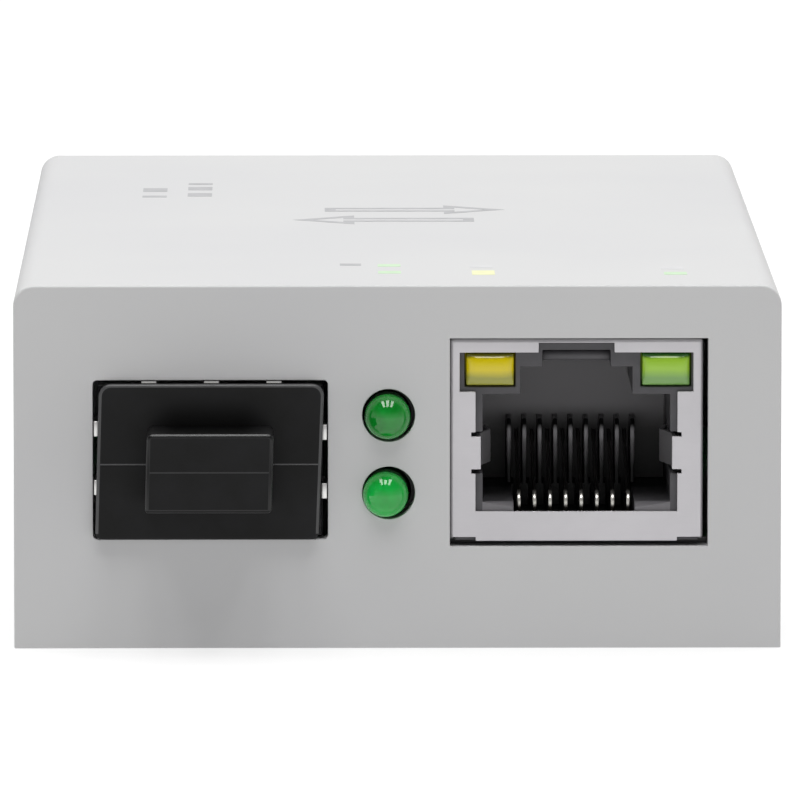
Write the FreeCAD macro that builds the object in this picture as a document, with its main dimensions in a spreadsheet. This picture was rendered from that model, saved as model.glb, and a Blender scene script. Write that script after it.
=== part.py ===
import FreeCAD, Part
import math
import os
import re

import Sketcher

# Pocket-size fibre media converter: a moulded case around one circuit board that carries a
# pluggable fibre-module cage, a shielded modular jack, two round indicators and a DC inlet.
# +Z is up, the ports face -Y, and the origin is the middle of the case's underside.

Vector = FreeCAD.Vector
doc = FreeCAD.newDocument("FibreMediaConverter")

# ---------------------------------------------------------------- driving dimensions, millimetres
SIZES = [
    # case
    ("case_width", 50.0, "outside, left to right"),
    ("case_depth", 85.0, "outside, front to back"),
    ("case_wall", 1.8, "front, back and side walls of the cover"),
    ("roof_thick", 2.0, "top wall of the cover"),
    ("headroom", 1.55, "free height between the jack and the roof"),
    ("corner_round", 1.35, "outside radius along the two long top edges"),
    ("rim_bevel", 0.1, "bevel round the front and back faces"),
    ("window_round", 0.28, "corner radius of the cage window"),
    ("rib_thick", 1.2, "hold-down ribs, along the wall"),
    ("rib_proud", 1.4, "hold-down ribs, out from the wall"),
    ("vent_width", 1.2, "side vent slots"),
    ("vent_pitch", 3.0, "side vent slots"),
    ("vent_low", 10.5, "bottom of the vent slots above the underside"),
    ("vent_tall", 7.5, "height of the vent slots"),
    ("vent_start", 34.0, "first vent slot, from the front face"),
    # base plate
    ("base_thick", 2.0, "plate"),
    ("base_gap", 0.15, "all round, between the plate and the cover"),
    ("base_bevel", 0.3, "bevel round the underside of the plate"),
    ("standoff_tall", 3.4, "plate to board"),
    ("standoff_wide", 5.6, "diameter"),
    ("tongue_wide", 8.0, "front tongues"),
    ("tongue_thick", 1.0, "front tongues"),
    ("tongue_low", 0.6, "underside of the tongues above the underside of the case"),
    ("tongue_reach", 1.0, "how far the tongues go into the front wall"),
    ("tongue_spread", 14.0, "middle of the case to the middle of a tongue"),
    ("boss_wide", 6.0, "case screw bosses, diameter"),
    ("boss_floor", 1.6, "material under the head of a case screw"),
    ("pillar_wide", 5.2, "screw pillars of the cover, diameter"),
    ("pillar_inset", 3.2, "pillar axis to the inside of the side wall"),
    ("screw_station", 21.0, "case screws, from the back face"),
    # screws
    ("head_wide", 4.6, "pan head, diameter"),
    ("head_tall", 1.6, "pan head"),
    ("head_gap", 0.3, "round and under a case screw's head"),
    ("shank_wide", 2.5, "thread, outside diameter"),
    ("shank_gap", 0.05, "radial room round a shank"),
    ("case_screw_long", 10.0, "under the head"),
    ("board_screw_long", 6.0, "under the head"),
    ("screw_front", 18.5, "first board screw, from the front face"),
    ("screw_middle", 30.0, "second board screw, from the front face"),
    ("screw_aside", 6.2, "second board screw, right of the jack's middle"),
    ("screw_back", 8.0, "third board screw, from the back face"),
    ("screw_right", 4.0, "third board screw, right of the case's middle"),
    ("recess_wide", 0.7, "arm of the cross recess"),
    ("recess_long", 2.6, "cross recess, tip to tip"),
    ("recess_deep", 0.9, "cross recess"),
    # circuit board
    ("board_thick", 1.6, ""),
    ("board_gap", 0.4, "board edge to the cover"),
    ("hole_gap", 0.15, "round pins and pegs in the board"),
    # fibre-module cage
    ("cage_centre", -12.19, "middle of the cage from the middle of the case"),
    ("cage_width", 14.4, "outside"),
    ("cage_tall", 9.75, "outside, with its lid"),
    ("cage_long", 48.5, "mouth to back"),
    ("cage_sheet", 0.25, "sheet thickness"),
    ("cage_lift", 0.35, "cage floor above the board"),
    ("cage_recess", 0.5, "mouth behind the front face"),
    ("cage_window_side", 0.45, "cage to window, each side"),
    ("cage_window_over", 0.5, "cage to window, above"),
    ("cage_window_under", 0.18, "cage to window, below"),
    ("pin_wide", 0.8, "press-in pins and legs"),
    ("pin_below", 0.8, "press-in pins and legs under the board"),
    ("latch_wide", 4.8, "latch tongue under the mouth"),
    ("latch_long", 8.2, "latch tongue"),
    ("latch_cut", 0.4, "cuts beside the latch tongue"),
    ("latch_hole", 2.6, "window of the latch tongue"),
    ("vent_hole", 2.0, "six-sided holes of the lid, across the flats"),
    ("vent_hole_pitch", 5.2, "holes of the lid"),
    ("collar_long", 7.0, "spring collar, front to back"),
    ("collar_sheet", 0.12, "spring collar"),
    ("finger_wide", 1.0, "spring fingers"),
    ("finger_gap", 0.02, "finger tips to the edges of the window"),
    ("finger_long", 4.6, "spring fingers, front to back"),
    ("finger_fold", 0.35, "front folds of the fingers, ahead of the collar"),
    ("top_finger_pitch", 4.07, "three fingers above"),
    ("side_finger_low", 3.2, "lower side finger above the cage floor"),
    ("side_finger_pitch", 3.85, "two fingers each side"),
    # dust plug
    ("flange_width", 14.72, ""),
    ("flange_tall", 10.08, ""),
    ("flange_proud", 0.7, "out from the front face"),
    ("flange_round", 0.8, "corners of the flange"),
    ("flange_edge", 0.3, "bevel round the flange's face"),
    ("plug_gap", 0.15, "plug shell to the inside of the cage"),
    ("plug_shell", 1.1, "wall of the hollow shell"),
    ("plug_long", 9.0, "shell behind the flange"),
    ("grip_width", 8.3, ""),
    ("grip_tall", 5.13, ""),
    ("grip_proud", 4.3, "out from the flange"),
    ("grip_edge", 0.45, "radius of the grip's edges"),
    # host connector inside the cage
    ("host_width", 11.2, ""),
    ("host_tall", 5.6, ""),
    ("host_deep", 9.0, ""),
    ("host_setback", 1.2, "from the back of the cage"),
    ("host_slot", 1.3, "card slot"),
    ("host_pitch", 0.8, "contacts"),
    ("host_contact", 0.36, "contact width"),
    # modular jack
    ("jack_centre", 11.66, "middle of the jack from the middle of the case"),
    ("jack_width", 16.46, "outside of the shield"),
    ("jack_tall", 13.25, "board to the top of the shield"),
    ("jack_long", 21.3, "front to back"),
    ("jack_recess", 0.3, "shield behind the front face"),
    ("jack_sheet", 0.25, "shield thickness"),
    ("jack_play", 0.06, "shield to insert"),
    ("jack_window_side", 0.18, "jack to window, each side"),
    ("jack_window_shift", 0.16, "window middle to the right of the jack's"),
    ("jack_window_over", 0.08, "jack to window, above"),
    ("jack_window_under", 0.33, "jack to window, below"),
    ("mouth_step", 0.47, "shield mouth wider than the plug cavity, each side"),
    ("mouth_low", 1.94, "shield face, below the mouth"),
    ("mouth_shoulder", 9.79, "where the mouth widens for the lamps"),
    ("shoulder_side", 0.62, "shield face beside the lamps"),
    ("mouth_top", 12.36, "shield face above the lamps starts"),
    ("notch_width", 4.93, "latch notch in the shield"),
    ("spring_low", 4.7, "side spring, lower edge"),
    ("spring_tall", 2.15, "side spring"),
    ("spring_inset", 0.34, "side spring, root inside the mouth's edge"),
    ("spring_bow", 0.7, "side spring, inwards at its crest"),
    ("spring_long", 6.5, "side spring, front to back"),
    ("relief", 0.28, "relief cuts beside a side spring"),
    ("cavity_width", 12.2, "plug cavity"),
    ("cavity_low", 2.5, "floor of the plug cavity"),
    ("cavity_top", 9.6, "roof of the plug cavity"),
    ("cavity_deep", 12.5, "plug cavity"),
    ("channel_width", 7.3, "latch channel"),
    ("channel_top", 11.4, "latch channel"),
    ("slot_width", 4.43, "latch slot"),
    ("slot_top", 12.5, "latch slot"),
    ("lamp_width", 3.08, "lamp of the jack"),
    ("lamp_tall", 2.07, "lamp of the jack"),
    ("lamp_low", 10.2, "underside of a lamp"),
    ("lamp_inset", 1.06, "outside of the shield to a lamp"),
    ("lamp_long", 7.0, "front to back"),
    ("lamp_gap", 0.12, "round a lamp in its pocket"),
    ("lamp_shift", 0.2, "right-hand lamp, further out than the left-hand one"),
    ("comb_pitch", 1.02, "contacts"),
    ("comb_rib", 0.28, "comb ribs"),
    ("comb_reach", 2.6, "comb ribs, forward of the back wall"),
    ("comb_top", 6.75, "top of the comb ribs"),
    ("comb_nose", 0.35, "sloping nose of a rib"),
    ("comb_shift", 0.14, "middle of the contacts, left of the jack's"),
    ("contact_wide", 0.3, "contact wire, across"),
    ("contact_bay", 0.22, "open floor beside the outer contacts"),
    ("contact_thick", 0.28, "contact wire"),
    ("contact_run", 1.3, "height of the contacts' run under the cavity floor"),
    ("contact_nose", 1.5, "front bend of the contacts, from the insert's face"),
    ("contact_tip", 6.0, "height of the contacts' free ends"),
    ("contact_bend", 0.5, "bend radius on the wire's middle line"),
    ("peg_wide", 3.2, "locating pegs of the jack"),
    ("peg_apart", 11.43, "locating pegs, middle to middle"),
    ("leg_station", 6.4, "shield legs behind the jack's face"),
    # front indicators
    ("lamp_line", -0.68, "indicator axis from the middle of the case"),
    ("indicator_low", 3.11, "lower indicator axis above the board"),
    ("indicator_pitch", 5.08, ""),
    ("indicator_wide", 3.0, "dome diameter"),
    ("indicator_long", 5.2, "tip to base"),
    ("indicator_tip", 1.3, "tip out from the front face"),
    ("indicator_hole", 3.45, "hole in the front wall"),
    ("indicator_shift", 0.1, "hole middle right of and above the lamp's axis"),
    ("holder_width", 5.2, "indicator holder"),
    ("holder_deep", 8.0, ""),
    ("holder_rim", 2.3, "holder above the upper indicator's axis"),
    ("lead_thick", 0.5, "indicator leads"),
    ("lead_pitch", 2.54, "indicator leads"),
    ("lead_setback", 1.0, "last row of leads to the back of the holder"),
    # DC inlet
    ("inlet_centre", -14.5, "middle of the inlet from the middle of the case"),
    ("inlet_width", 9.0, ""),
    ("inlet_tall", 11.0, ""),
    ("inlet_deep", 14.2, ""),
    ("inlet_axis", 6.4, "bore axis above the board"),
    ("inlet_bore", 6.3, "bore diameter"),
    ("inlet_bore_deep", 9.5, ""),
    ("inlet_pin", 2.0, "centre pin diameter"),
    ("inlet_pin_seat", 2.8, "root of the centre pin, diameter"),
    ("inlet_pin_back", 1.0, "centre pin behind the mouth"),
    ("inlet_hole", 7.4, "hole in the back wall"),
    ("inlet_gap", 0.2, "inlet to the back wall"),
    ("inlet_leaf", 2.4, "sleeve spring, across"),
    ("leaf_thick", 0.3, "sleeve spring"),
    ("spring_tail", 13.6, "solder tail of the sleeve spring, from the mouth"),
    # parts on the board
    ("chip_side", 9.0, "switch controller"),
    ("chip_tall", 0.9, ""),
    ("package_long", 5.0, "memory and regulator"),
    ("package_wide", 4.0, "memory and regulator"),
    ("package_tall", 1.5, "memory and regulator"),
    ("coil_side", 6.2, "power inductor"),
    ("coil_tall", 4.4, ""),
    ("can_wide", 6.3, "electrolytic cans"),
    ("can_tall", 7.7, ""),
    ("crystal_long", 10.6, ""),
    ("crystal_wide", 4.6, ""),
    ("crystal_tall", 3.4, ""),
    ("crystal_edge", 6.8, "board's right edge to the crystal's middle"),
    ("chip_edge", 16.8, "board's right edge to the controller's middle"),
    ("memory_station", 11.5, "controller to memory, middle to middle"),
    ("coil_gap", 6.9, "share of the free length, from the cage to the inductor"),
    ("can_gap", 2.75, "share of the free length, from the inductor to the cans"),
    ("screw_gap", 3.55, "share of the free length, from the cans to the third screw's head"),
    ("regulator_gap", 2.9, "last row of chip parts to the regulator"),
    ("power_pitch", 8.0, "inductor to regulator, and can to can"),
    ("small_wide", 0.8, "chip parts, across and up"),
    ("small_long", 1.6, "chip parts"),
    ("small_pitch", 2.4, "chip parts, side by side"),
    ("small_row", 3.0, "chip parts, row to row"),
    ("small_gap", 2.5, "controller to the first row of chip parts"),
]

# Places that follow from the driving dimensions, written once and used by name.
PLACES = {
    "board_low": "base_thick + standoff_tall",
    "board_top": "board_low + board_thick",
    "roof_low": "board_top + jack_tall + headroom",
    "case_tall": "roof_low + roof_thick",
    "inside_half": "case_width / 2 - case_wall",
    "front": "-case_depth / 2",
    "back": "case_depth / 2",
    "wall_front": "front + case_wall",
    "wall_back": "back - case_wall",
    "boss_top": "head_gap + head_tall + boss_floor",
    "pillar_x": "inside_half - pillar_inset",
    "pillar_y": "back - screw_station",
    "cage_low": "board_top + cage_lift",
    "cage_half": "cage_width / 2",
    "collar_half": "cage_half + collar_sheet",
    "cage_mouth": "front + cage_recess",
    "cage_end": "cage_mouth + cage_long",
    "screw_line": "back - screw_back",
    "power_end": "screw_line - head_wide / 2",
    "power_free": "power_end - cage_end - coil_side - can_wide",
    "power_share": "power_free / (coil_gap + can_gap + screw_gap)",
    "coil_line": "cage_end + power_share * coil_gap + coil_side / 2",
    "can_line": "power_end - power_share * screw_gap - can_wide / 2",
    "jack_face": "front + jack_recess",
    "insert_front": "jack_sheet + jack_play",
    "insert_half": "jack_width / 2 - jack_sheet - jack_play",
    "jack_half": "jack_width / 2",
    "mouth_half": "cavity_width / 2 + mouth_step",
    "shoulder_half": "jack_half - shoulder_side",
    "lamp_outer": "jack_half - lamp_inset",
    "lamp_inner": "lamp_outer - lamp_width",
    "bay_half": "3.5 * comb_pitch + contact_wide / 2 + contact_bay",
    "board_half": "inside_half - board_gap",
    "chip_middle": "board_half - chip_edge",
    "inlet_mouth": "wall_back - inlet_gap",
    "inlet_height": "board_top + inlet_axis",
}

VENT_COUNT = 9
CONTACT_COUNT = 8
HOST_CONTACTS_PER_ROW = 10

sheet = doc.addObject("Spreadsheet::Sheet", "Sizes")
for row, (alias, millimetres, remark) in enumerate(SIZES, start=1):
    sheet.set(f"A{row}", alias.replace("_", " "))
    sheet.set(f"B{row}", str(millimetres))
    sheet.setAlias(f"B{row}", alias)
    sheet.set(f"C{row}", remark)
spare = doc.addObject("Spreadsheet::Sheet", "Spare")
doc.recompute()

ALIASES = {alias for alias, _, _ in SIZES}
nodes = []


# ---------------------------------------------------------------- modelling helpers
def cells(expression):
    """An expression in plain names, written with the sheet's cells."""

    def cell(found):
        name = found.group(0)
        if name in PLACES:
            return "(" + cells(PLACES[name]) + ")"
        return "Sizes." + name if name in ALIASES else name

    return re.sub(r"[a-z][a-z_]+", cell, str(expression))


def size(expression):
    """The value of an expression, in millimetres, worked out in a spare sheet."""
    spare.set("A1", "=" + cells(expression))
    spare.recompute()
    return float(spare.get("A1"))


def bind(thing, **properties):
    """Ties properties to expressions; a double underscore stands for a dot."""
    for name, expression in properties.items():
        thing.setExpression(name.replace("__", "."), cells(expression))


def place(thing, x=0, y=0, z=0):
    bind(thing, Placement__Base__x=x, Placement__Base__y=y, Placement__Base__z=z)


def new_body(label):
    """A body that becomes a node of that name."""
    body = doc.addObject("PartDesign::Body", label)
    body.Label = label
    nodes.append(body)
    return body


def sketch_on(body, role, offset=0):
    """A sketch on one of the body's origin planes, moved along the plane's normal.
    XY looks along +Z, XZ along -Y (so the offset is -y) and YZ along +X."""
    sketch = body.newObject("Sketcher::SketchObject", "Sketch")
    plane = [f for f in body.Origin.OriginFeatures if f.Role == role + "_Plane"][0]
    sketch.AttachmentSupport = [(plane, "")]
    sketch.MapMode = "FlatFace"
    bind(sketch, AttachmentOffset__Base__z=offset)
    return sketch


def fix_point(sketch, geometry, position, x, y):
    """Holds a sketch point at two bound distances from the sketch's origin."""
    for kind, where in (("DistanceX", x), ("DistanceY", y)):
        made = sketch.addConstraint(
            Sketcher.Constraint(kind, -1, 1, geometry, position, size(where))
        )
        sketch.setExpression(f"Constraints[{made}]", cells(where))


def polygon(sketch, points):
    """A closed outline through points given as pairs of expressions."""
    first = sketch.GeometryCount
    corners = [Vector(size(x), size(y), 0) for x, y in points]
    count = len(corners)
    for i in range(count):
        sketch.addGeometry(Part.LineSegment(corners[i], corners[(i + 1) % count]))
    for i in range(count):
        sketch.addConstraint(
            Sketcher.Constraint("Coincident", first + i, 2, first + (i + 1) % count, 1)
        )
    for i, (x, y) in enumerate(points):
        fix_point(sketch, first + i, 1, x, y)


def rectangle(sketch, x0, y0, x1, y1):
    polygon(sketch, [(x0, y0), (x1, y0), (x1, y1), (x0, y1)])


def circle(sketch, x, y, diameter):
    made = sketch.addGeometry(
        Part.Circle(Vector(size(x), size(y), 0), Vector(0, 0, 1), size(diameter) / 2)
    )
    fix_point(sketch, made, 3, x, y)
    radius = sketch.addConstraint(Sketcher.Constraint("Diameter", made, size(diameter)))
    sketch.setExpression(f"Constraints[{radius}]", cells(diameter))


def feature(body, kind, profile, length, backwards=False):
    """Pads or pockets a sketch. A pad goes along the sketch's normal and a pocket against it,
    unless backwards."""
    made = body.newObject("PartDesign::" + kind, kind)
    made.Profile = profile
    made.Reversed = backwards
    bind(made, Length=length)
    return made


def pad(body, profile, length, backwards=False):
    return feature(body, "Pad", profile, length, backwards)


def pocket(body, profile, length, backwards=False):
    doc.recompute()
    before = body.Shape.Volume
    made = feature(body, "Pocket", profile, length, backwards)
    doc.recompute()
    if before - body.Shape.Volume < 1e-6:
        raise RuntimeError(f"{body.Label}: {made.Name} cuts nothing")
    return made


def revolve(body, profile, axis="V_Axis"):
    made = body.newObject("PartDesign::Revolution", "Revolution")
    made.Profile = profile
    made.ReferenceAxis = (profile, [axis])
    made.Angle = 360
    return made


def row_of(body, original, direction, pitch, count):
    """Repeats a feature along a sketch axis of its own profile."""
    made = body.newObject("PartDesign::LinearPattern", "Row")
    made.Originals = [original]
    made.Direction = (original.Profile[0], [direction])
    made.Mode = "Spacing"
    bind(made, Offset=pitch)
    made.Occurrences = count
    body.Tip = made
    doc.recompute()
    return made


def mirror(body, originals, role="YZ"):
    """Repeats features on the other side of one of the body's origin planes."""
    made = body.newObject("PartDesign::Mirrored", "Mirrored")
    made.Originals = originals
    plane = [f for f in body.Origin.OriginFeatures if f.Role == role + "_Plane"][0]
    made.MirrorPlane = (plane, [""])
    body.Tip = made
    doc.recompute()
    return made


def round_edges(body, radius, choose, kind="Fillet"):
    """Rounds, or bevels, each edge of the body for which choose(middle, direction) holds."""
    doc.recompute()
    base = body.Tip
    names = []
    for number, edge in enumerate(base.Shape.Edges, start=1):
        middle = edge.valueAt((edge.FirstParameter + edge.LastParameter) / 2)
        run = edge.Vertexes[-1].Point - edge.Vertexes[0].Point
        if run.Length > 1e-6:
            run.normalize()
        if choose(middle, run):
            names.append(f"Edge{number}")
    if not names:
        raise RuntimeError(f"{body.Label}: no edge to round")
    made = body.newObject("PartDesign::" + kind, kind)
    made.Base = (base, names)
    bind(made, **{"Radius" if kind == "Fillet" else "Size": radius})
    doc.recompute()
    return made


def along(direction, axis):
    return abs(getattr(direction, axis)) > 0.999


def near(a, b):
    return abs(a - b) < 1e-4


def solid_node(label, shape):
    """A node whose shape is made by code from the sheet's values."""
    made = doc.addObject("Part::Feature", label)
    made.Label = label
    made.Shape = shape
    nodes.append(made)
    return made


def group_node(label, members):
    """A node of several separate solids."""
    made = doc.addObject("Part::Compound", label)
    made.Label = label
    made.Links = members
    nodes.append(made)
    return made


def bent_strip(points, width, thick, bend):
    """A strip in the YZ plane, centred on x = 0, whose middle line has its inner corners cut
    back by the bend."""
    path = [Vector(0, y, z) for y, z in points]
    line = [path[0]]
    for before, corner, after in zip(path, path[1:], path[2:]):
        line.append(corner + (before - corner).normalize() * bend)
        line.append(corner + (after - corner).normalize() * bend)
    line.append(path[-1])
    side = Vector(1, 0, 0)
    up = (line[1] - line[0]).normalize().cross(side)
    corners = [
        line[0] + side * (a * width / 2) + up * (b * thick / 2)
        for a, b in ((-1, -1), (1, -1), (1, 1), (-1, 1))
    ]
    section = Part.makePolygon(corners + [corners[0]])
    return Part.makePolygon(line).makePipeShell([section], True, False, 1)


# ---------------------------------------------------------------- case
def make_top_cover():
    """One moulding: roof, four walls, hold-down ribs and two screw pillars."""
    body = new_body("top_cover")
    outside = sketch_on(body, "XZ", "-front")
    rectangle(outside, "-case_width / 2", "0", "case_width / 2", "case_tall")
    pad(body, outside, "case_depth", backwards=True)
    top = size("case_tall")
    round_edges(body, "corner_round", lambda m, d: along(d, "y") and near(m.z, top))

    hollow = sketch_on(body, "XY")
    rectangle(hollow, "-inside_half", "wall_front", "inside_half", "wall_back")
    pocket(body, hollow, "roof_low", backwards=True)

    pillar = sketch_on(body, "XY", "boss_top")
    circle(pillar, "pillar_x", "pillar_y", "pillar_wide")
    pillar_pad = pad(body, pillar, "roof_low - boss_top + roof_thick / 2")
    web = sketch_on(body, "XY", "boss_top")
    rectangle(
        web,
        "pillar_x",
        "pillar_y - rib_thick / 2",
        "inside_half + case_wall / 2",
        "pillar_y + rib_thick / 2",
    )
    web_pad = pad(body, web, "roof_low - boss_top + roof_thick / 2")
    mirror(body, [pillar_pad, web_pad])

    ribs = sketch_on(body, "XY", "board_top")
    for station in ("front + 14", "front + 28", "back - 10"):
        rectangle(
            ribs,
            "inside_half - rib_proud",
            f"{station} - rib_thick / 2",
            "inside_half + case_wall / 2",
            f"{station} + rib_thick / 2",
        )
    ribs_pad = pad(body, ribs, "roof_low - board_top + roof_thick / 2")
    mirror(body, [ribs_pad])

    bore = sketch_on(body, "XY", "boss_top")
    for side in ("pillar_x", "-pillar_x"):
        circle(bore, side, "pillar_y", "shank_wide + 2 * shank_gap")
    pocket(body, bore, "case_screw_long", backwards=True)

    windows = sketch_on(body, "XZ", "-front")
    rectangle(
        windows,
        "cage_centre - cage_half - cage_window_side",
        "cage_low - cage_window_under",
        "cage_centre + cage_half + cage_window_side",
        "cage_low + cage_tall + cage_window_over",
    )
    rectangle(
        windows,
        "jack_centre + jack_window_shift - jack_half - jack_window_side",
        "board_top - jack_window_under",
        "jack_centre + jack_window_shift + jack_half + jack_window_side",
        "board_top + jack_tall + jack_window_over",
    )
    for level in ("0", "indicator_pitch"):
        circle(
            windows,
            "lamp_line + indicator_shift",
            f"board_top + indicator_low + {level} + indicator_shift",
            "indicator_hole",
        )
    pocket(body, windows, "case_wall")

    inlet = sketch_on(body, "XZ", "-back")
    circle(inlet, "inlet_centre", "inlet_height", "inlet_hole")
    pocket(body, inlet, "case_wall", backwards=True)

    keepers = sketch_on(body, "XZ", "-wall_front")
    for side in ("-tongue_spread", "tongue_spread"):
        rectangle(
            keepers,
            f"{side} - tongue_wide / 2 - base_gap",
            "tongue_low - base_gap",
            f"{side} + tongue_wide / 2 + base_gap",
            "tongue_low + tongue_thick + base_gap",
        )
    pocket(body, keepers, "tongue_reach + base_gap", backwards=True)

    vent = sketch_on(body, "YZ", "-case_width / 2")
    rectangle(
        vent,
        "front + vent_start",
        "vent_low",
        "front + vent_start + vent_width",
        "vent_low + vent_tall",
    )
    slot = pocket(body, vent, "case_width", backwards=True)
    row_of(body, slot, "H_Axis", "vent_pitch", VENT_COUNT)

    face, window = size("front"), size("cage_centre")
    reach = size("cage_half + cage_window_side")
    round_edges(
        body,
        "window_round",
        lambda m, d: along(d, "y")
        and near(abs(m.x - window), reach)
        and m.y < face + size("case_wall"),
    )
    wide = size("case_width / 2")
    rims = (face, size("back"))
    round_edges(
        body,
        "rim_bevel",
        lambda m, d: any(near(m.y, rim) for rim in rims)
        and m.z > 1e-4
        and (abs(m.x) > wide - size("corner_round") or near(m.z, top)),
        kind="Chamfer",
    )


def make_base_plate():
    """The plate that closes the cover from below and carries the board."""
    body = new_body("base_plate")
    plate = sketch_on(body, "XY")
    rectangle(
        plate,
        "-inside_half + base_gap",
        "wall_front + base_gap",
        "inside_half - base_gap",
        "wall_back - base_gap",
    )
    pad(body, plate, "base_thick")
    round_edges(body, "base_bevel", lambda m, d: near(m.z, 0), kind="Chamfer")

    tongue = sketch_on(body, "XY", "tongue_low")
    for side in ("-tongue_spread", "tongue_spread"):
        rectangle(
            tongue,
            f"{side} - tongue_wide / 2",
            "wall_front - tongue_reach",
            f"{side} + tongue_wide / 2",
            "wall_front + base_gap + base_bevel + tongue_thick",
        )
    pad(body, tongue, "tongue_thick")

    standoffs = sketch_on(body, "XY")
    for x, y in BOARD_SCREWS:
        circle(standoffs, x, y, "standoff_wide")
    pad(body, standoffs, "board_low")

    bosses = sketch_on(body, "XY")
    for side in ("pillar_x", "-pillar_x"):
        circle(bosses, side, "pillar_y", "boss_wide")
    pad(body, bosses, "boss_top")

    counterbores = sketch_on(body, "XY")
    for side in ("pillar_x", "-pillar_x"):
        circle(counterbores, side, "pillar_y", "head_wide + 2 * head_gap")
    pocket(body, counterbores, "head_gap + head_tall", backwards=True)

    holes = sketch_on(body, "XY")
    for side in ("pillar_x", "-pillar_x"):
        circle(holes, side, "pillar_y", "shank_wide + 2 * head_gap")
    pocket(body, holes, "boss_top", backwards=True)

    pilots = sketch_on(body, "XY", "board_low")
    for x, y in BOARD_SCREWS:
        circle(pilots, x, y, "shank_wide + 2 * shank_gap")
    pocket(body, pilots, "board_screw_long - board_thick + base_gap")


# Board screw places: between the two ports, behind the jack, and near the back wall.
BOARD_SCREWS = [
    ("lamp_line", "front + screw_front"),
    ("jack_centre + screw_aside", "front + screw_middle"),
    ("screw_right", "screw_line"),
]


def pan_screw(name, length):
    """One cross-recessed screw; its head sits on z = 0 and its shank runs down."""
    screw = doc.addObject("PartDesign::Body", name)
    profile = sketch_on(screw, "XZ")
    polygon(
        profile,
        [
            ("0", f"-{length}"),
            ("shank_wide / 2", f"-{length}"),
            ("shank_wide / 2", "0"),
            ("head_wide / 2", "0"),
            ("head_wide / 2", "head_tall"),
            ("0", "head_tall"),
        ],
    )
    revolve(screw, profile)
    cross = sketch_on(screw, "XY", "head_tall")
    arm, half = "recess_long / 2", "recess_wide / 2"
    quarter = [(arm, half), (half, half), (half, arm)]
    points = []
    for x_sign, y_sign in (("", ""), ("-", ""), ("-", "-"), ("", "-")):
        corner = [(f"{x_sign}{x}", f"{y_sign}{y}") for x, y in quarter]
        points += corner if x_sign == y_sign else corner[::-1]
    polygon(cross, points)
    pocket(screw, cross, "recess_deep")
    return screw


def make_case_screws():
    """Two screws from below, through the plate's bosses into the cover's pillars."""
    screws = []
    for name, side in (("CaseScrewRight", "pillar_x"), ("CaseScrewLeft", "-pillar_x")):
        screw = pan_screw(name, "case_screw_long")
        screw.Placement.Rotation = FreeCAD.Rotation(Vector(1, 0, 0), 180)
        place(screw, side, "pillar_y", "head_gap + head_tall")
        screws.append(screw)
    group_node("case_screws", screws)


def make_board_screws():
    screws = []
    for number, (x, y) in enumerate(BOARD_SCREWS, start=1):
        screw = pan_screw(f"BoardScrew{number}", "board_screw_long")
        place(screw, x, y, "board_top")
        screws.append(screw)
    group_node("board_screws", screws)


# ---------------------------------------------------------------- circuit board
CAGE_PIN_STATIONS = ("cage_long * 0.2", "cage_long * 0.5", "cage_long * 0.8")
LEAD_ROWS = ("lead_setback + lead_pitch", "lead_setback")


def make_circuit_board():
    body = new_body("circuit_board")
    plan = sketch_on(body, "XY", "board_low")
    rectangle(
        plan,
        "-board_half",
        "wall_front + board_gap",
        "board_half",
        "wall_back - board_gap",
    )
    pad(body, plan, "board_thick")

    notches = sketch_on(body, "XY", "board_low")
    for sign in ("", "-"):
        rectangle(
            notches,
            f"{sign}(pillar_x - pillar_wide / 2 - board_gap)",
            "pillar_y - pillar_wide / 2 - board_gap",
            f"{sign}(board_half + board_gap)",
            "pillar_y + pillar_wide / 2 + board_gap",
        )
    pocket(body, notches, "board_thick", backwards=True)

    holes = sketch_on(body, "XY", "board_low")
    for x, y in BOARD_SCREWS:
        circle(holes, x, y, "shank_wide + 2 * hole_gap")

    def slot(x, y, wide, deep):
        rectangle(
            holes,
            f"{x} - ({wide}) / 2 - hole_gap",
            f"{y} - ({deep}) / 2 - hole_gap",
            f"{x} + ({wide}) / 2 + hole_gap",
            f"{y} + ({deep}) / 2 + hole_gap",
        )

    for sign in ("-", "+"):
        circle(
            holes,
            f"jack_centre {sign} peg_apart / 2",
            "jack_face + jack_long / 2",
            "peg_wide + 2 * hole_gap",
        )
        leg = f"jack_centre {sign} (jack_half - jack_sheet / 2)"
        slot(leg, "jack_face + leg_station", "jack_sheet", "pin_wide")
        for station in CAGE_PIN_STATIONS:
            pin = f"cage_centre {sign} (cage_half - cage_sheet / 2)"
            slot(pin, f"cage_mouth + {station}", "cage_sheet", "pin_wide")
    for side in ("-", "+"):
        for row in LEAD_ROWS:
            lead = f"lamp_line {side} lead_pitch / 2"
            slot(lead, f"wall_front + holder_deep - {row}", "lead_thick", "lead_thick")
    slot("inlet_centre", "inlet_mouth - spring_tail", "inlet_leaf", "leaf_thick")
    pocket(body, holes, "board_thick", backwards=True)


# ---------------------------------------------------------------- fibre-module cage
def at_cage(body):
    """Cage parts are drawn from the middle of the cage floor at the mouth."""
    place(body, "cage_centre", "cage_mouth", "cage_low")


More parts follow.
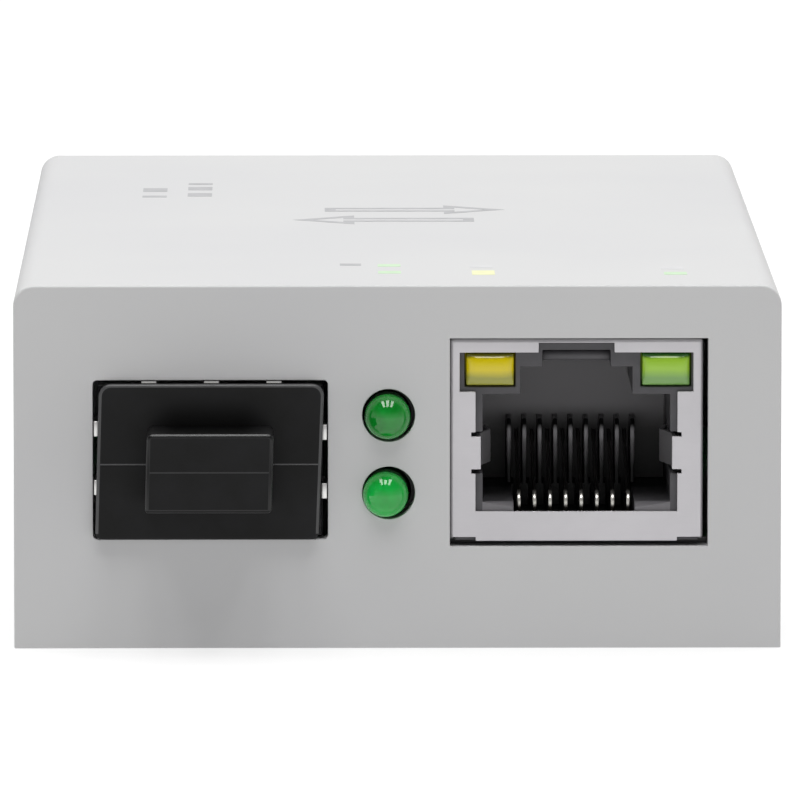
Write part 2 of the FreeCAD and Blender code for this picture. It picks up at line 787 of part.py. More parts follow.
def make_cage_tub():
    """The folded tub: floor, sides and back, with the latch tongue and the press-in pins."""
    body = new_body("sfp_cage_tub")
    outside = sketch_on(body, "XZ")
    rectangle(outside, "-cage_half", "0", "cage_half", "cage_tall - cage_sheet")
    pad(body, outside, "cage_long", backwards=True)
    inside = sketch_on(body, "XZ")
    rectangle(inside, "-cage_half + cage_sheet", "cage_sheet", "cage_half - cage_sheet", "cage_tall")
    pocket(body, inside, "cage_long - cage_sheet")

    foot = sketch_on(body, "XY")
    rectangle(
        foot,
        "-host_width / 2 - 2 * hole_gap",
        "cage_long - host_setback - host_deep - 2 * hole_gap",
        "host_width / 2 + 2 * hole_gap",
        "cage_long - host_setback + 2 * hole_gap",
    )
    pocket(body, foot, "cage_sheet", backwards=True)

    latch = sketch_on(body, "XY")
    polygon(
        latch,
        [
            ("-latch_wide / 2 - latch_cut", "latch_cut + latch_long"),
            ("-latch_wide / 2 - latch_cut", "latch_cut"),
            ("latch_wide / 2 + latch_cut", "latch_cut"),
            ("latch_wide / 2 + latch_cut", "latch_cut + latch_long"),
            ("latch_wide / 2", "latch_cut + latch_long"),
            ("latch_wide / 2", "2 * latch_cut"),
            ("-latch_wide / 2", "2 * latch_cut"),
            ("-latch_wide / 2", "latch_cut + latch_long"),
        ],
    )
    rectangle(
        latch,
        "-latch_hole / 2",
        "latch_long * 0.25",
        "latch_hole / 2",
        "latch_long * 0.25 + latch_hole",
    )
    pocket(body, latch, "cage_sheet", backwards=True)

    pins = sketch_on(body, "XY", "cage_sheet")
    for sign in ("", "-"):
        for station in CAGE_PIN_STATIONS:
            rectangle(
                pins,
                f"{sign}(cage_half - cage_sheet)",
                f"{station} - pin_wide / 2",
                f"{sign}cage_half",
                f"{station} + pin_wide / 2",
            )
    pad(body, pins, "cage_sheet + cage_lift + board_thick + pin_below", backwards=True)
    at_cage(body)


def make_cage_lid():
    """The folded lid: a perforated top with two flanges outside the tub."""
    body = new_body("sfp_cage_lid")
    top = sketch_on(body, "XZ")
    rectangle(top, "-cage_half", "cage_tall - cage_sheet", "cage_half", "cage_tall")
    pad(body, top, "cage_long", backwards=True)
    flange = sketch_on(body, "XZ", "-collar_long - hole_gap")
    for sign in ("", "-"):
        polygon(
            flange,
            [
                (f"{sign}cage_half", "cage_tall"),
                (f"{sign}(cage_half + cage_sheet)", "cage_tall"),
                (f"{sign}(cage_half + cage_sheet)", "cage_tall * 0.6"),
                (f"{sign}cage_half", "cage_tall * 0.6"),
            ],
        )
    pad(body, flange, "cage_long - collar_long - hole_gap", backwards=True)
    vents = sketch_on(body, "XY", "cage_tall")
    for column in ("-vent_hole_pitch * 0.8", "0", "vent_hole_pitch * 0.8"):
        across = "vent_hole / 2"
        point = "vent_hole / 3 ^ 0.5"
        middle = "collar_long + vent_hole_pitch"
        polygon(
            vents,
            [
                (f"{column} + {across}", f"{middle} - {point} / 2"),
                (f"{column} + {across}", f"{middle} + {point} / 2"),
                (f"{column}", f"{middle} + {point}"),
                (f"{column} - {across}", f"{middle} + {point} / 2"),
                (f"{column} - {across}", f"{middle} - {point} / 2"),
                (f"{column}", f"{middle} - {point}"),
            ],
        )
    holes = pocket(body, vents, "cage_sheet")
    row_of(body, holes, "V_Axis", "vent_hole_pitch", 5)
    at_cage(body)


def make_spring_collar():
    """The thin band round the mouth, with three fingers above and two at each side."""
    body = new_body("sfp_spring_collar")
    band = sketch_on(body, "XZ")
    polygon(
        band,
        [
            ("-collar_half", "0"),
            ("-collar_half", "cage_tall + collar_sheet"),
            ("collar_half", "cage_tall + collar_sheet"),
            ("collar_half", "0"),
            ("cage_half", "0"),
            ("cage_half", "cage_tall"),
            ("-cage_half", "cage_tall"),
            ("-cage_half", "0"),
        ],
    )
    pad(body, band, "collar_long", backwards=True)

    def finger(root, room):
        return [
            ("-finger_fold", f"{root} - collar_sheet"),
            ("-finger_fold", f"{root} + ({room} - collar_sheet - finger_gap) * 0.95"),
            ("finger_long * 0.3", f"{root} + {room} - collar_sheet - finger_gap"),
            ("finger_long * 0.45", f"{root} + {room} - collar_sheet - finger_gap"),
            ("finger_long", root),
            ("finger_long", f"{root} - collar_sheet / 2"),
            ("0", f"{root} - collar_sheet / 2"),
            ("0", f"{root} - collar_sheet"),
        ]

    above = sketch_on(body, "YZ", "-top_finger_pitch - finger_wide / 2")
    polygon(above, finger("cage_tall + collar_sheet", "cage_window_over"))
    first = pad(body, above, "finger_wide")
    doc.recompute()
    row = body.newObject("PartDesign::LinearPattern", "Row")
    row.Originals = [first]
    row.Direction = (above, ["N_Axis"])
    row.Mode = "Spacing"
    bind(row, Offset="top_finger_pitch")
    row.Occurrences = 3
    body.Tip = row
    doc.recompute()

    for level in ("side_finger_low", "side_finger_low + side_finger_pitch"):
        side = sketch_on(body, "XY", f"{level} - finger_wide / 2")
        polygon(side, [(x, y) for y, x in finger("collar_half", "cage_window_side")])
        beside = pad(body, side, "finger_wide")
        mirror(body, [beside])
    at_cage(body)


def make_host_connector():
    """The card-edge socket on the board at the back of the cage, and its contact rows."""
    start = "cage_long - host_setback - host_deep"
    body = new_body("sfp_host_connector")
    block = sketch_on(body, "XZ", f"-({start})")
    rectangle(block, "-host_width / 2", "-cage_lift", "host_width / 2", "host_tall - cage_lift")
    pad(body, block, "host_deep", backwards=True)
    slot = sketch_on(body, "XZ", f"-({start})")
    rectangle(
        slot,
        "-host_width / 2 + 1",
        "host_tall / 2 - host_slot / 2",
        "host_width / 2 - 1",
        "host_tall / 2 + host_slot / 2",
    )
    pocket(body, slot, "host_deep * 0.7")
    grooves = sketch_on(body, "XZ", f"-({start})")
    rectangle(
        grooves,
        "-4.5 * host_pitch - host_contact * 0.6",
        "host_tall / 2 - host_slot / 2 - host_contact",
        "-4.5 * host_pitch + host_contact * 0.6",
        "host_tall / 2 + host_slot / 2 + host_contact",
    )
    cut = pocket(body, grooves, "host_deep * 0.6")
    row_of(body, cut, "H_Axis", "host_pitch", HOST_CONTACTS_PER_ROW)
    at_cage(body)

    contacts = new_body("sfp_host_contacts")
    strips = sketch_on(contacts, "XZ", f"-({start}) - host_contact")
    for low in ("- host_slot / 2 - host_contact", "+ host_slot / 2 + host_contact / 2"):
        rectangle(
            strips,
            "-4.5 * host_pitch - host_contact / 2",
            f"host_tall / 2 {low}",
            "-4.5 * host_pitch + host_contact / 2",
            f"host_tall / 2 {low} + host_contact / 2",
        )
    bars = pad(contacts, strips, "host_deep * 0.6 - host_contact", backwards=True)
    row_of(contacts, bars, "H_Axis", "host_pitch", HOST_CONTACTS_PER_ROW)
    at_cage(contacts)


def make_dust_plug():
    """The soft push-in plug: flange, raised grip, and a hollow shell that fills the mouth."""
    body = new_body("dust_plug")
    middle = "(cage_tall + cage_window_over - cage_window_under) / 2"
    flange = sketch_on(body, "XZ", "cage_recess + flange_proud")
    rectangle(
        flange,
        "-flange_width / 2",
        f"{middle} - flange_tall / 2",
        "flange_width / 2",
        f"{middle} + flange_tall / 2",
    )
    pad(body, flange, "cage_recess + flange_proud - finger_fold - base_gap / 3", backwards=True)
    round_edges(body, "flange_round", lambda m, d: along(d, "y"))

    face = -size("cage_recess + flange_proud")
    grip = sketch_on(body, "XZ", "cage_recess + flange_proud + grip_proud")
    rectangle(
        grip,
        "-grip_width / 2",
        f"{middle} - grip_tall / 2",
        "grip_width / 2",
        f"{middle} + grip_tall / 2",
    )
    pad(body, grip, "grip_proud + flange_edge", backwards=True)
    tip = face - size("grip_proud")
    round_edges(
        body,
        "grip_edge",
        lambda m, d: along(d, "y") and m.y < face,
    )
    round_edges(body, "grip_edge / 2", lambda m, d: near(m.y, tip), kind="Chamfer")
    middle_z = size(middle)
    edge_x, edge_z = size("flange_width / 2"), size("flange_tall / 2")
    corner = size("flange_round")
    round_edges(
        body,
        "flange_edge",
        lambda m, d: near(m.y, face)
        and (abs(m.x) > edge_x - corner or abs(m.z - middle_z) > edge_z - corner),
        kind="Chamfer",
    )

    shell = sketch_on(body, "XZ", "finger_fold + base_gap / 3")
    rectangle(
        shell,
        "-cage_half + cage_sheet + plug_gap",
        "cage_sheet + plug_gap",
        "cage_half - cage_sheet - plug_gap",
        "cage_tall - cage_sheet - plug_gap",
    )
    pad(body, shell, "plug_long + finger_fold + base_gap / 3", backwards=True)
    core = sketch_on(body, "XZ", "-plug_long")
    for sign in ("", "-"):
        rectangle(
            core,
            f"{sign}plug_shell / 2",
            "cage_sheet + plug_gap + plug_shell",
            f"{sign}(cage_half - cage_sheet - plug_gap - plug_shell)",
            "cage_tall - cage_sheet - plug_gap - plug_shell",
        )
    pocket(body, core, "plug_long - plug_shell", backwards=True)
    at_cage(body)


# ---------------------------------------------------------------- modular jack
def at_jack(body):
    """Jack parts are drawn from the middle of the jack's foot at its face."""
    place(body, "jack_centre", "jack_face", "board_top")


def make_jack_shield():
    """The folded shield: face with its stepped mouth, roof, sides, back, side springs and legs."""
    body = new_body("rj45_shield")
    outside = sketch_on(body, "XZ")
    rectangle(outside, "-jack_half", "0", "jack_half", "jack_tall")
    pad(body, outside, "jack_long", backwards=True)
    top = size("jack_tall")
    edge = size("jack_half")
    round_edges(
        body,
        "jack_sheet",
        lambda m, d: (along(d, "y") and near(m.z, top))
        or (near(m.y, 0) and m.z > 0.1)
        or (along(d, "z") and near(abs(m.x), edge)),
    )
    hollow = sketch_on(body, "XY")
    rectangle(
        hollow,
        "-jack_half + jack_sheet",
        "jack_sheet",
        "jack_half - jack_sheet",
        "jack_long - jack_sheet",
    )
    pocket(body, hollow, "jack_tall - jack_sheet", backwards=True)

    mouth = sketch_on(body, "XZ")
    half = [
        ("mouth_half", "mouth_low"),
        ("mouth_half", "spring_low - relief"),
        ("mouth_half + relief", "spring_low - relief"),
        ("mouth_half + relief", "spring_low"),
        ("mouth_half - spring_inset", "spring_low"),
        ("mouth_half - spring_inset", "spring_low + spring_tall"),
        ("mouth_half + relief", "spring_low + spring_tall"),
        ("mouth_half + relief", "spring_low + spring_tall + relief"),
        ("mouth_half", "spring_low + spring_tall + relief"),
        ("mouth_half", "mouth_shoulder"),
        ("shoulder_half", "mouth_shoulder"),
        ("shoulder_half", "mouth_top"),
        ("notch_width / 2", "mouth_top"),
        ("notch_width / 2", "jack_tall - jack_sheet"),
    ]
    polygon(mouth, half + [(f"-({x})", z) for x, z in reversed(half)])
    pocket(body, mouth, "jack_sheet")

    steps = sketch_on(body, "XZ")
    for sign in ("", "-"):
        rectangle(steps, f"{sign}mouth_half", "0", f"{sign}jack_half", "jack_sheet")
    pocket(body, steps, "jack_sheet * 5")

    for sign in ("", "-"):
        spring = sketch_on(body, "XY", "spring_low")
        polygon(
            spring,
            [
                (f"{sign}(mouth_half - spring_inset)", "0"),
                (f"{sign}(mouth_half - spring_inset)", "spring_long * 0.3"),
                (f"{sign}(mouth_half - spring_inset - spring_bow)", "spring_long * 0.65"),
                (f"{sign}(mouth_half - spring_inset - spring_bow * 0.5)", "spring_long"),
                (f"{sign}(mouth_half - spring_inset - spring_bow * 0.5 + jack_sheet)", "spring_long"),
                (
                    f"{sign}(mouth_half - spring_inset - spring_bow + jack_sheet * 1.1)",
                    "spring_long * 0.65",
                ),
                (f"{sign}(mouth_half - spring_inset + jack_sheet)", "spring_long * 0.3"),
                (f"{sign}(mouth_half - spring_inset + jack_sheet)", "0"),
            ],
        )
        pad(body, spring, "spring_tall")

    legs = sketch_on(body, "XY", "jack_sheet")
    for sign in ("", "-"):
        rectangle(
            legs,
            f"{sign}(jack_half - jack_sheet)",
            "leg_station - pin_wide / 2",
            f"{sign}jack_half",
            "leg_station + pin_wide / 2",
        )
    pad(body, legs, "jack_sheet + board_thick + pin_below", backwards=True)
    at_jack(body)


def make_jack_insert():
    """The moulded insert: stepped plug cavity, latch channel, lamp pockets, contact combs."""
    body = new_body("rj45_insert")
    outside = sketch_on(body, "XZ", "-insert_front")
    rectangle(outside, "-insert_half", "0", "insert_half", "jack_tall - jack_sheet - jack_play")
    pad(body, outside, "jack_long - 2 * insert_front", backwards=True)

    def cut(depth, *boxes):
        opening = sketch_on(body, "XZ", "-insert_front")
        for box in boxes:
            rectangle(opening, *box)
        return pocket(body, opening, depth)

    cut(
        "cavity_deep",
        ("-cavity_width / 2", "cavity_low", "cavity_width / 2", "cavity_top"),
    )
    cut(
        "cavity_deep",
        ("-channel_width / 2", "cavity_top - 0.1", "channel_width / 2", "channel_top"),
    )
    cut(
        "cavity_deep * 0.6",
        ("-slot_width / 2", "channel_top - 0.1", "slot_width / 2", "slot_top"),
    )
    cut(
        "lamp_long + lamp_gap",
        (
            "lamp_inner + lamp_shift - lamp_gap",
            "lamp_low - lamp_gap",
            "lamp_outer + lamp_shift + lamp_gap",
            "lamp_low + lamp_tall + lamp_gap",
        ),
        (
            "-lamp_outer - lamp_gap",
            "lamp_low - lamp_gap",
            "-lamp_inner + lamp_gap",
            "lamp_low + lamp_tall + lamp_gap",
        ),
    )
    cut(
        "spring_long + jack_sheet",
        (
            "-mouth_half - relief",
            "spring_low - relief",
            "mouth_half + relief",
            "spring_low + spring_tall + relief",
        ),
    )
    cut(
        "cavity_deep - comb_reach",
        (
            "-bay_half - comb_shift",
            "contact_run - contact_thick",
            "bay_half - comb_shift",
            "cavity_low + 0.1",
        ),
    )

    groove = sketch_on(body, "XZ", "-insert_front")
    rectangle(
        groove,
        "-3.5 * comb_pitch - comb_shift - contact_wide / 2 - jack_play",
        "contact_run - contact_thick",
        "-3.5 * comb_pitch - comb_shift + contact_wide / 2 + jack_play",
        "cavity_low + 0.1",
    )
    grooves = pocket(body, groove, "cavity_deep")
    row_of(body, grooves, "H_Axis", "comb_pitch", CONTACT_COUNT)

    rib = sketch_on(body, "YZ", "-4 * comb_pitch - comb_shift - comb_rib / 2")
    rear = "insert_front + cavity_deep"
    polygon(
        rib,
        [
            (f"{rear} - comb_reach", "cavity_low - 0.1"),
            (f"{rear} + 0.1", "cavity_low - 0.1"),
            (f"{rear} + 0.1", "comb_top"),
            (f"{rear} - comb_reach + comb_nose", "comb_top"),
            (f"{rear} - comb_reach", "comb_top - comb_nose"),
        ],
    )
    ribs = pad(body, rib, "comb_rib")
    doc.recompute()
    comb = body.newObject("PartDesign::LinearPattern", "Comb")
    comb.Originals = [ribs]
    comb.Direction = (rib, ["N_Axis"])
    comb.Mode = "Spacing"
    bind(comb, Offset="comb_pitch")
    comb.Occurrences = CONTACT_COUNT + 1
    body.Tip = comb
    doc.recompute()

    bay = sketch_on(body, "XZ", "-jack_long + insert_front")
    rectangle(bay, "-insert_half + 1", "0", "insert_half - 1", "channel_top")
    pocket(body, bay, "jack_long - 2 * insert_front - cavity_deep - 1", backwards=True)

    pegs = sketch_on(body, "XY")
    for sign in ("-", ""):
        circle(pegs, f"{sign}peg_apart / 2", "jack_long / 2", "peg_wide")
    pad(body, pegs, "board_thick", backwards=True)
    at_jack(body)


def make_jack_magnetics():
    """The potted block of signal transformers behind the plug cavity."""
    body = new_body("rj45_magnetics")
    block = sketch_on(body, "XZ", "-jack_long + insert_front + jack_play")
    rectangle(
        block,
        "-insert_half + 1 + jack_play",
        "0",
        "insert_half - 1 - jack_play",
        "channel_top - jack_play",
    )
    pad(body, block, "jack_long - 2 * insert_front - cavity_deep - 1 - 2 * jack_play")
    at_jack(body)


def make_jack_contacts():
    """Eight sprung wires: a run under the cavity floor, a nose at the front, and a sloping blade."""
    face = size("insert_front")
    nose = face + size("contact_nose")
    low = size("contact_run")
    inner_end = face + size("cavity_deep - comb_reach / 2")
    wire = bent_strip(
        [
            (face + size("cavity_deep") - 0.1, low),
            (nose, low),
            (nose, size("cavity_low + contact_bend")),
            (inner_end, size("contact_tip")),
        ],
        size("contact_wide"),
        size("contact_thick"),
        size("contact_bend"),
    )
    pitch = size("comb_pitch")
    middle = -size("comb_shift")
    wires = []
    for number in range(CONTACT_COUNT):
        copy = wire.copy()
        copy.translate(Vector(middle + (number - (CONTACT_COUNT - 1) / 2) * pitch, 0, 0))
        wires.append(copy)
    at_jack(solid_node("rj45_contacts", Part.Compound(wires)))


def make_jack_lamps():
    """The two rectangular lamps beside the latch."""
    for label, low, high in (
        ("rj45_lamp_left", "-lamp_outer", "-lamp_inner"),
        ("rj45_lamp_right", "lamp_inner + lamp_shift", "lamp_outer + lamp_shift"),
    ):
        body = new_body(label)
        window = sketch_on(body, "XZ", "-insert_front")
        rectangle(window, low, "lamp_low", high, "lamp_low + lamp_tall")
        pad(body, window, "lamp_long", backwards=True)
        face = size("insert_front")
        round_edges(body, "lamp_gap", lambda m, d: near(m.y, face))
        at_jack(body)


# ---------------------------------------------------------------- front indicators
def make_indicators():
    """Two round lamps, one above the other, in a black right-angle holder, with their leads."""
    base = "front - indicator_tip + indicator_long"
    for label, level in (("lower_indicator", "0"), ("upper_indicator", "indicator_pitch")):
        body = new_body(label)
        profile = sketch_on(body, "YZ")
        half = "indicator_wide / 2"
        shoulder = "-indicator_long + indicator_wide / 2"
        first = profile.addGeometry(
            Part.ArcOfCircle(
                Part.Circle(
                    Vector(size(shoulder), 0, 0), Vector(0, 0, 1), size(half)
                ),
                math.pi / 2,
                math.pi,
            )
        )
        fix_point(profile, first, 3, shoulder, "0")
        fix_point(profile, first, 1, shoulder, half)
        profile.addConstraint(Sketcher.Constraint("PointOnObject", first, 2, -1))
        rest = [
            ("-indicator_long", "0"),
            ("0", "0"),
            ("0", half),
            (shoulder, half),
        ]
        lines = profile.GeometryCount
        for (x0, y0), (x1, y1) in zip(rest, rest[1:]):
            profile.addGeometry(
                Part.LineSegment(Vector(size(x0), size(y0), 0), Vector(size(x1), size(y1), 0))
            )
        for i in range(len(rest) - 2):
            profile.addConstraint(
                Sketcher.Constraint("Coincident", lines + i, 2, lines + i + 1, 1)
            )
        profile.addConstraint(Sketcher.Constraint("Coincident", first, 2, lines, 1))
        last = lines + len(rest) - 2
        profile.addConstraint(Sketcher.Constraint("Coincident", first, 1, last, 2))
        for i, (x, y) in enumerate(rest[1:-1], start=1):
            fix_point(profile, lines + i, 1, x, y)
        revolve(body, profile, "H_Axis")
        place(body, "lamp_line", base, f"board_top + indicator_low + {level}")

    holder = new_body("indicator_holder")
    block = sketch_on(holder, "XZ", f"-(wall_front + hole_gap)")
    rectangle(
        block,
        "lamp_line - holder_width / 2",
        "board_top",
        "lamp_line + holder_width / 2",
        "board_top + indicator_low + indicator_pitch + holder_rim",
    )
    pad(holder, block, "holder_deep", backwards=True)
    bores = sketch_on(holder, "XZ", f"-(wall_front + hole_gap)")
    for level in ("0", "indicator_pitch"):
        circle(
            bores,
            "lamp_line",
            f"board_top + indicator_low + {level}",
            "indicator_wide + 2 * shank_gap",
        )
    pocket(holder, bores, f"{base} - wall_front - hole_gap")
    wells = sketch_on(holder, "XZ", "-(wall_front + hole_gap + holder_deep)")
    rectangle(
        wells,
        "lamp_line - holder_width / 2 + 1",
        "board_top",
        "lamp_line + holder_width / 2 - 1",
        "board_top + indicator_low + indicator_pitch + 1",
    )
    pocket(
        holder,
        wells,
        f"wall_front + hole_gap + holder_deep - ({base})",
        backwards=True,
    )

    thick = size("lead_thick")
    tail = size("board_low") - size("pin_below")
    root = size(base)
    leads = []
    for level, row in zip(("0", "indicator_pitch"), LEAD_ROWS):
        height = size(f"board_top + indicator_low + {level}")
        drop = size(f"wall_front + holder_deep - {row}")
        for side in (-1, 1):
            lead = bent_strip(
                [(root, height), (drop, height), (drop, tail)], thick, thick, thick
            )
            shift = side * size("lead_pitch") / 2
            lead.translate(Vector(size("lamp_line") + shift, 0, 0))
            leads.append(lead)
    solid_node("indicator_leads", Part.Compound(leads))


# ---------------------------------------------------------------- DC inlet
def at_inlet(body):
    """Inlet parts are drawn from the bore axis at the mouth, with the mouth towards +Y."""
    place(body, "inlet_centre", "inlet_mouth", "inlet_height")


def make_inlet():
    """The barrel socket at the back: moulded body, centre pin and sleeve spring."""
    body = new_body("dc_inlet_body")
    outside = sketch_on(body, "XZ")
    rectangle(
        outside,
        "-inlet_width / 2",
        "-inlet_axis",
        "inlet_width / 2",
        "inlet_tall - inlet_axis",
    )
    pad(body, outside, "inlet_deep")
    top = size("inlet_tall - inlet_axis")
    round_edges(body, "inlet_width / 4", lambda m, d: along(d, "y") and near(m.z, top))
    bore = sketch_on(body, "XZ")
    circle(bore, "0", "0", "inlet_bore")
    pocket(body, bore, "inlet_bore_deep", backwards=True)
    seat = sketch_on(body, "XZ")
    circle(seat, "0", "0", "inlet_pin_seat + 2 * shank_gap")
    pocket(body, seat, "inlet_deep", backwards=True)
    channel = sketch_on(body, "XZ", "inlet_deep")
    rectangle(
        channel,
        "-inlet_leaf / 2 - leaf_thick",
        "-inlet_axis",
        "inlet_leaf / 2 + leaf_thick",
        "-inlet_bore / 2 + leaf_thick",
    )
    pocket(body, channel, "inlet_deep - 2")
    at_inlet(body)

    pin = new_body("dc_inlet_pin")
    profile = sketch_on(pin, "YZ")
    polygon(
        profile,
        [
            ("-inlet_deep", "0"),
            ("-inlet_pin_back", "0"),
            ("-inlet_pin_back", "inlet_pin / 2"),
            ("-inlet_bore_deep", "inlet_pin / 2"),
            ("-inlet_bore_deep", "inlet_pin_seat / 2"),
            ("-inlet_deep", "inlet_pin_seat / 2"),
        ],
    )
    revolve(pin, profile, "H_Axis")
    at_inlet(pin)

    spring = new_body("dc_inlet_spring")
    leaf = sketch_on(spring, "YZ", "-inlet_leaf / 2")
    tail, low = "-spring_tail", "-inlet_bore / 2"
    polygon(
        leaf,
        [
            (f"{tail} - leaf_thick / 2", "-inlet_axis - board_thick"),
            (f"{tail} + leaf_thick / 2", "-inlet_axis - board_thick"),
            (f"{tail} + leaf_thick / 2", f"{low} - 2 * leaf_thick"),
            ("-inlet_deep / 5", f"{low} - 2 * leaf_thick"),
            ("-inlet_deep / 5", f"{low} - leaf_thick"),
            (f"{tail} - leaf_thick / 2", f"{low} - leaf_thick"),
        ],
    )
    pad(spring, leaf, "inlet_leaf")
    at_inlet(spring)


# ---------------------------------------------------------------- other parts on the board
def make_board_parts():
    """Controller, memory, clock crystal, power stage and the small chip parts."""

    def block(label, x, y, length, width, height, corner=None, bevel=None):
        body = new_body(label)
        plan = sketch_on(body, "XY", "board_top")
        rectangle(
            plan,
            f"{x} - {length} / 2",
            f"{y} - {width} / 2",
            f"{x} + {length} / 2",
            f"{y} + {width} / 2",
        )
        pad(body, plan, height)
        if corner:
            round_edges(body, corner, lambda m, d: along(d, "z"))
        if bevel:
            top = size(f"board_top + {height}")
            round_edges(body, bevel, lambda m, d: near(m.z, top), kind="Chamfer")

    middle = "back - case_depth / 2"
    package = ("package_long", "package_wide", "package_tall")
    block("controller_chip", "chip_middle", middle, "chip_side", "chip_side", "chip_tall", bevel="0.15")
    block("memory_chip", "chip_middle", f"{middle} - memory_station", *package, bevel="0.2")
    first_row = f"{middle} + chip_side / 2 + small_gap"
    regulator = f"{first_row} + small_row + small_long + regulator_gap + package_wide / 2"
    block("regulator_chip", "power_pitch / 2", regulator, *package, bevel="0.2")
    block(
        "power_inductor",
        "-power_pitch / 2",
        "coil_line",
        "coil_side",
        "coil_side",
        "coil_tall",
        bevel="0.8",
    )
    block(
        "clock_crystal",
        "board_half - crystal_edge",
        middle,
        "crystal_wide",
        "crystal_long",
        "crystal_tall",
        corner="crystal_wide * 0.45",
    )

    cans = []
    for number, side in enumerate(("-", "")):
        can = doc.addObject("Part::Cylinder", f"Can{number}")
        bind(can, Radius="can_wide / 2", Height="can_tall")
        place(can, f"{side}power_pitch / 2", "can_line", "board_top")
        cans.append(can)
    group_node("electrolytic_cans", cans)

    chips = []
    for column in range(6):
        for row in range(2):
            chip = doc.addObject("Part::Box", f"Chip{column}{row}")
            bind(chip, Length="small_wide", Width="small_long", Height="small_wide")
            place(
                chip,
                f"chip_middle + {column - 2.5} * small_pitch",
                f"{first_row} + {row} * small_row",
                "board_top",
            )
            chips.append(chip)
    group_node("chip_parts", chips)


# ---------------------------------------------------------------- build, check and write
def build():
    make_top_cover()
    make_base_plate()
    make_case_screws()
    make_circuit_board()
    make_board_screws()
    make_cage_tub()
    make_cage_lid()
    make_spring_collar()
    make_host_connector()
    make_dust_plug()
    make_jack_shield()
    make_jack_insert()
    make_jack_magnetics()
    make_jack_contacts()
    make_jack_lamps()
    make_indicators()
    make_inlet()
    make_board_parts()
    doc.recompute()


def check():
    failed = [
        f"{thing.Label} is {state}"
        for thing in doc.Objects
        for state in thing.State
        if state in ("Invalid", "Error")
    ]
    for node in nodes:
        shape = node.Shape
        if shape.isNull() or not shape.isValid() or not shape.Solids:
            failed.append(f"{node.Label} has no valid solid")
    if failed:
        raise RuntimeError("; ".join(failed))


def write():
    os.makedirs("parts", exist_ok=True)
    for node in nodes:
        node.Shape.exportStep(os.path.join("parts", node.Label + ".step"))
        box = node.Shape.BoundBox
        print(
            f"{node.Label:22s} {len(node.Shape.Solids):3d} solids {node.Shape.Volume:9.2f} mm3  "
            f"x {box.XMin:7.2f} {box.XMax:7.2f}  y {box.YMin:7.2f} {box.YMax:7.2f}  "
            f"z {box.ZMin:6.2f} {box.ZMax:6.2f}"
        )


build()
check()
write()
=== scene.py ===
import math

import bmesh
import bpy
from mathutils import Matrix, Vector


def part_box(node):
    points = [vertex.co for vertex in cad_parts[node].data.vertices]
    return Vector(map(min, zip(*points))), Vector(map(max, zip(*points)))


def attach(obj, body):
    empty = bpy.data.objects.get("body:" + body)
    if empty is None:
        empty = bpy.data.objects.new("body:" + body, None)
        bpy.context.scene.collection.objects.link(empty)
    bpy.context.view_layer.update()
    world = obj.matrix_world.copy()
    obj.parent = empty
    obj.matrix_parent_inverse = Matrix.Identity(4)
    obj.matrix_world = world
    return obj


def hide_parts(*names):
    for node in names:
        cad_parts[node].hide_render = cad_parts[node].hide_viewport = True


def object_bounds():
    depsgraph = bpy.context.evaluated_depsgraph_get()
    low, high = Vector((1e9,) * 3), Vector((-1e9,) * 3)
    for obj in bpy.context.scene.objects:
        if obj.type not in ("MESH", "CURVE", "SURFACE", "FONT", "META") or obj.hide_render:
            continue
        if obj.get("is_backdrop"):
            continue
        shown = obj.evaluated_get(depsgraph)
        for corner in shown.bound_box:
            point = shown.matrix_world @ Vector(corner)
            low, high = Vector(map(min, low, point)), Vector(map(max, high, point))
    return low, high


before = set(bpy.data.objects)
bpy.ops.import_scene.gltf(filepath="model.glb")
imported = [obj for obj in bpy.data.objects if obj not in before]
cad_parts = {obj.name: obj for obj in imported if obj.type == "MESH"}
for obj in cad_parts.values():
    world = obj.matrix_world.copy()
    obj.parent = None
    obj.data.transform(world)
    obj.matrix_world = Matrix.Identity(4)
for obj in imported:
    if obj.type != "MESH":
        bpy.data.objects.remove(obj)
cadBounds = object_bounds()
mm = 0.001
sameSpot = 0.001  # millimetres, below which two corners are one
flatWithin = 0.4  # degrees, below which two faces are one
roundOver = 32  # degrees, above which an edge is rounded
print("frame loaded")


def toLinear(hexCode):
    parts = [int(hexCode[i:i + 2], 16) / 255 for i in (1, 3, 5)]
    return [c / 12.92 if c <= 0.04045 else ((c + 0.055) / 1.055) ** 2.4 for c in parts] + [1.0]


def addNode(material, kind, inputs=None, links=None, **settings):
    node = material.node_tree.nodes.new("ShaderNode" + kind)
    for name, value in settings.items():
        setattr(node, name, value)
    for name, value in (inputs or {}).items():
        node.inputs[name].default_value = value
    for name, source in (links or {}).items():
        material.node_tree.links.new(source, node.inputs[name])
    return node


def newMaterial(name, **values):
    material = bpy.data.materials.new(name)
    material.use_nodes = True
    shader = material.node_tree.nodes["Principled BSDF"]
    for socket, value in values.items():
        shader.inputs[socket.replace("_", " ")].default_value = value
    return material, shader


def perMetre(sizeInMm):
    return 1 / (sizeInMm * mm)  # noise and wave scales count features per metre of object space


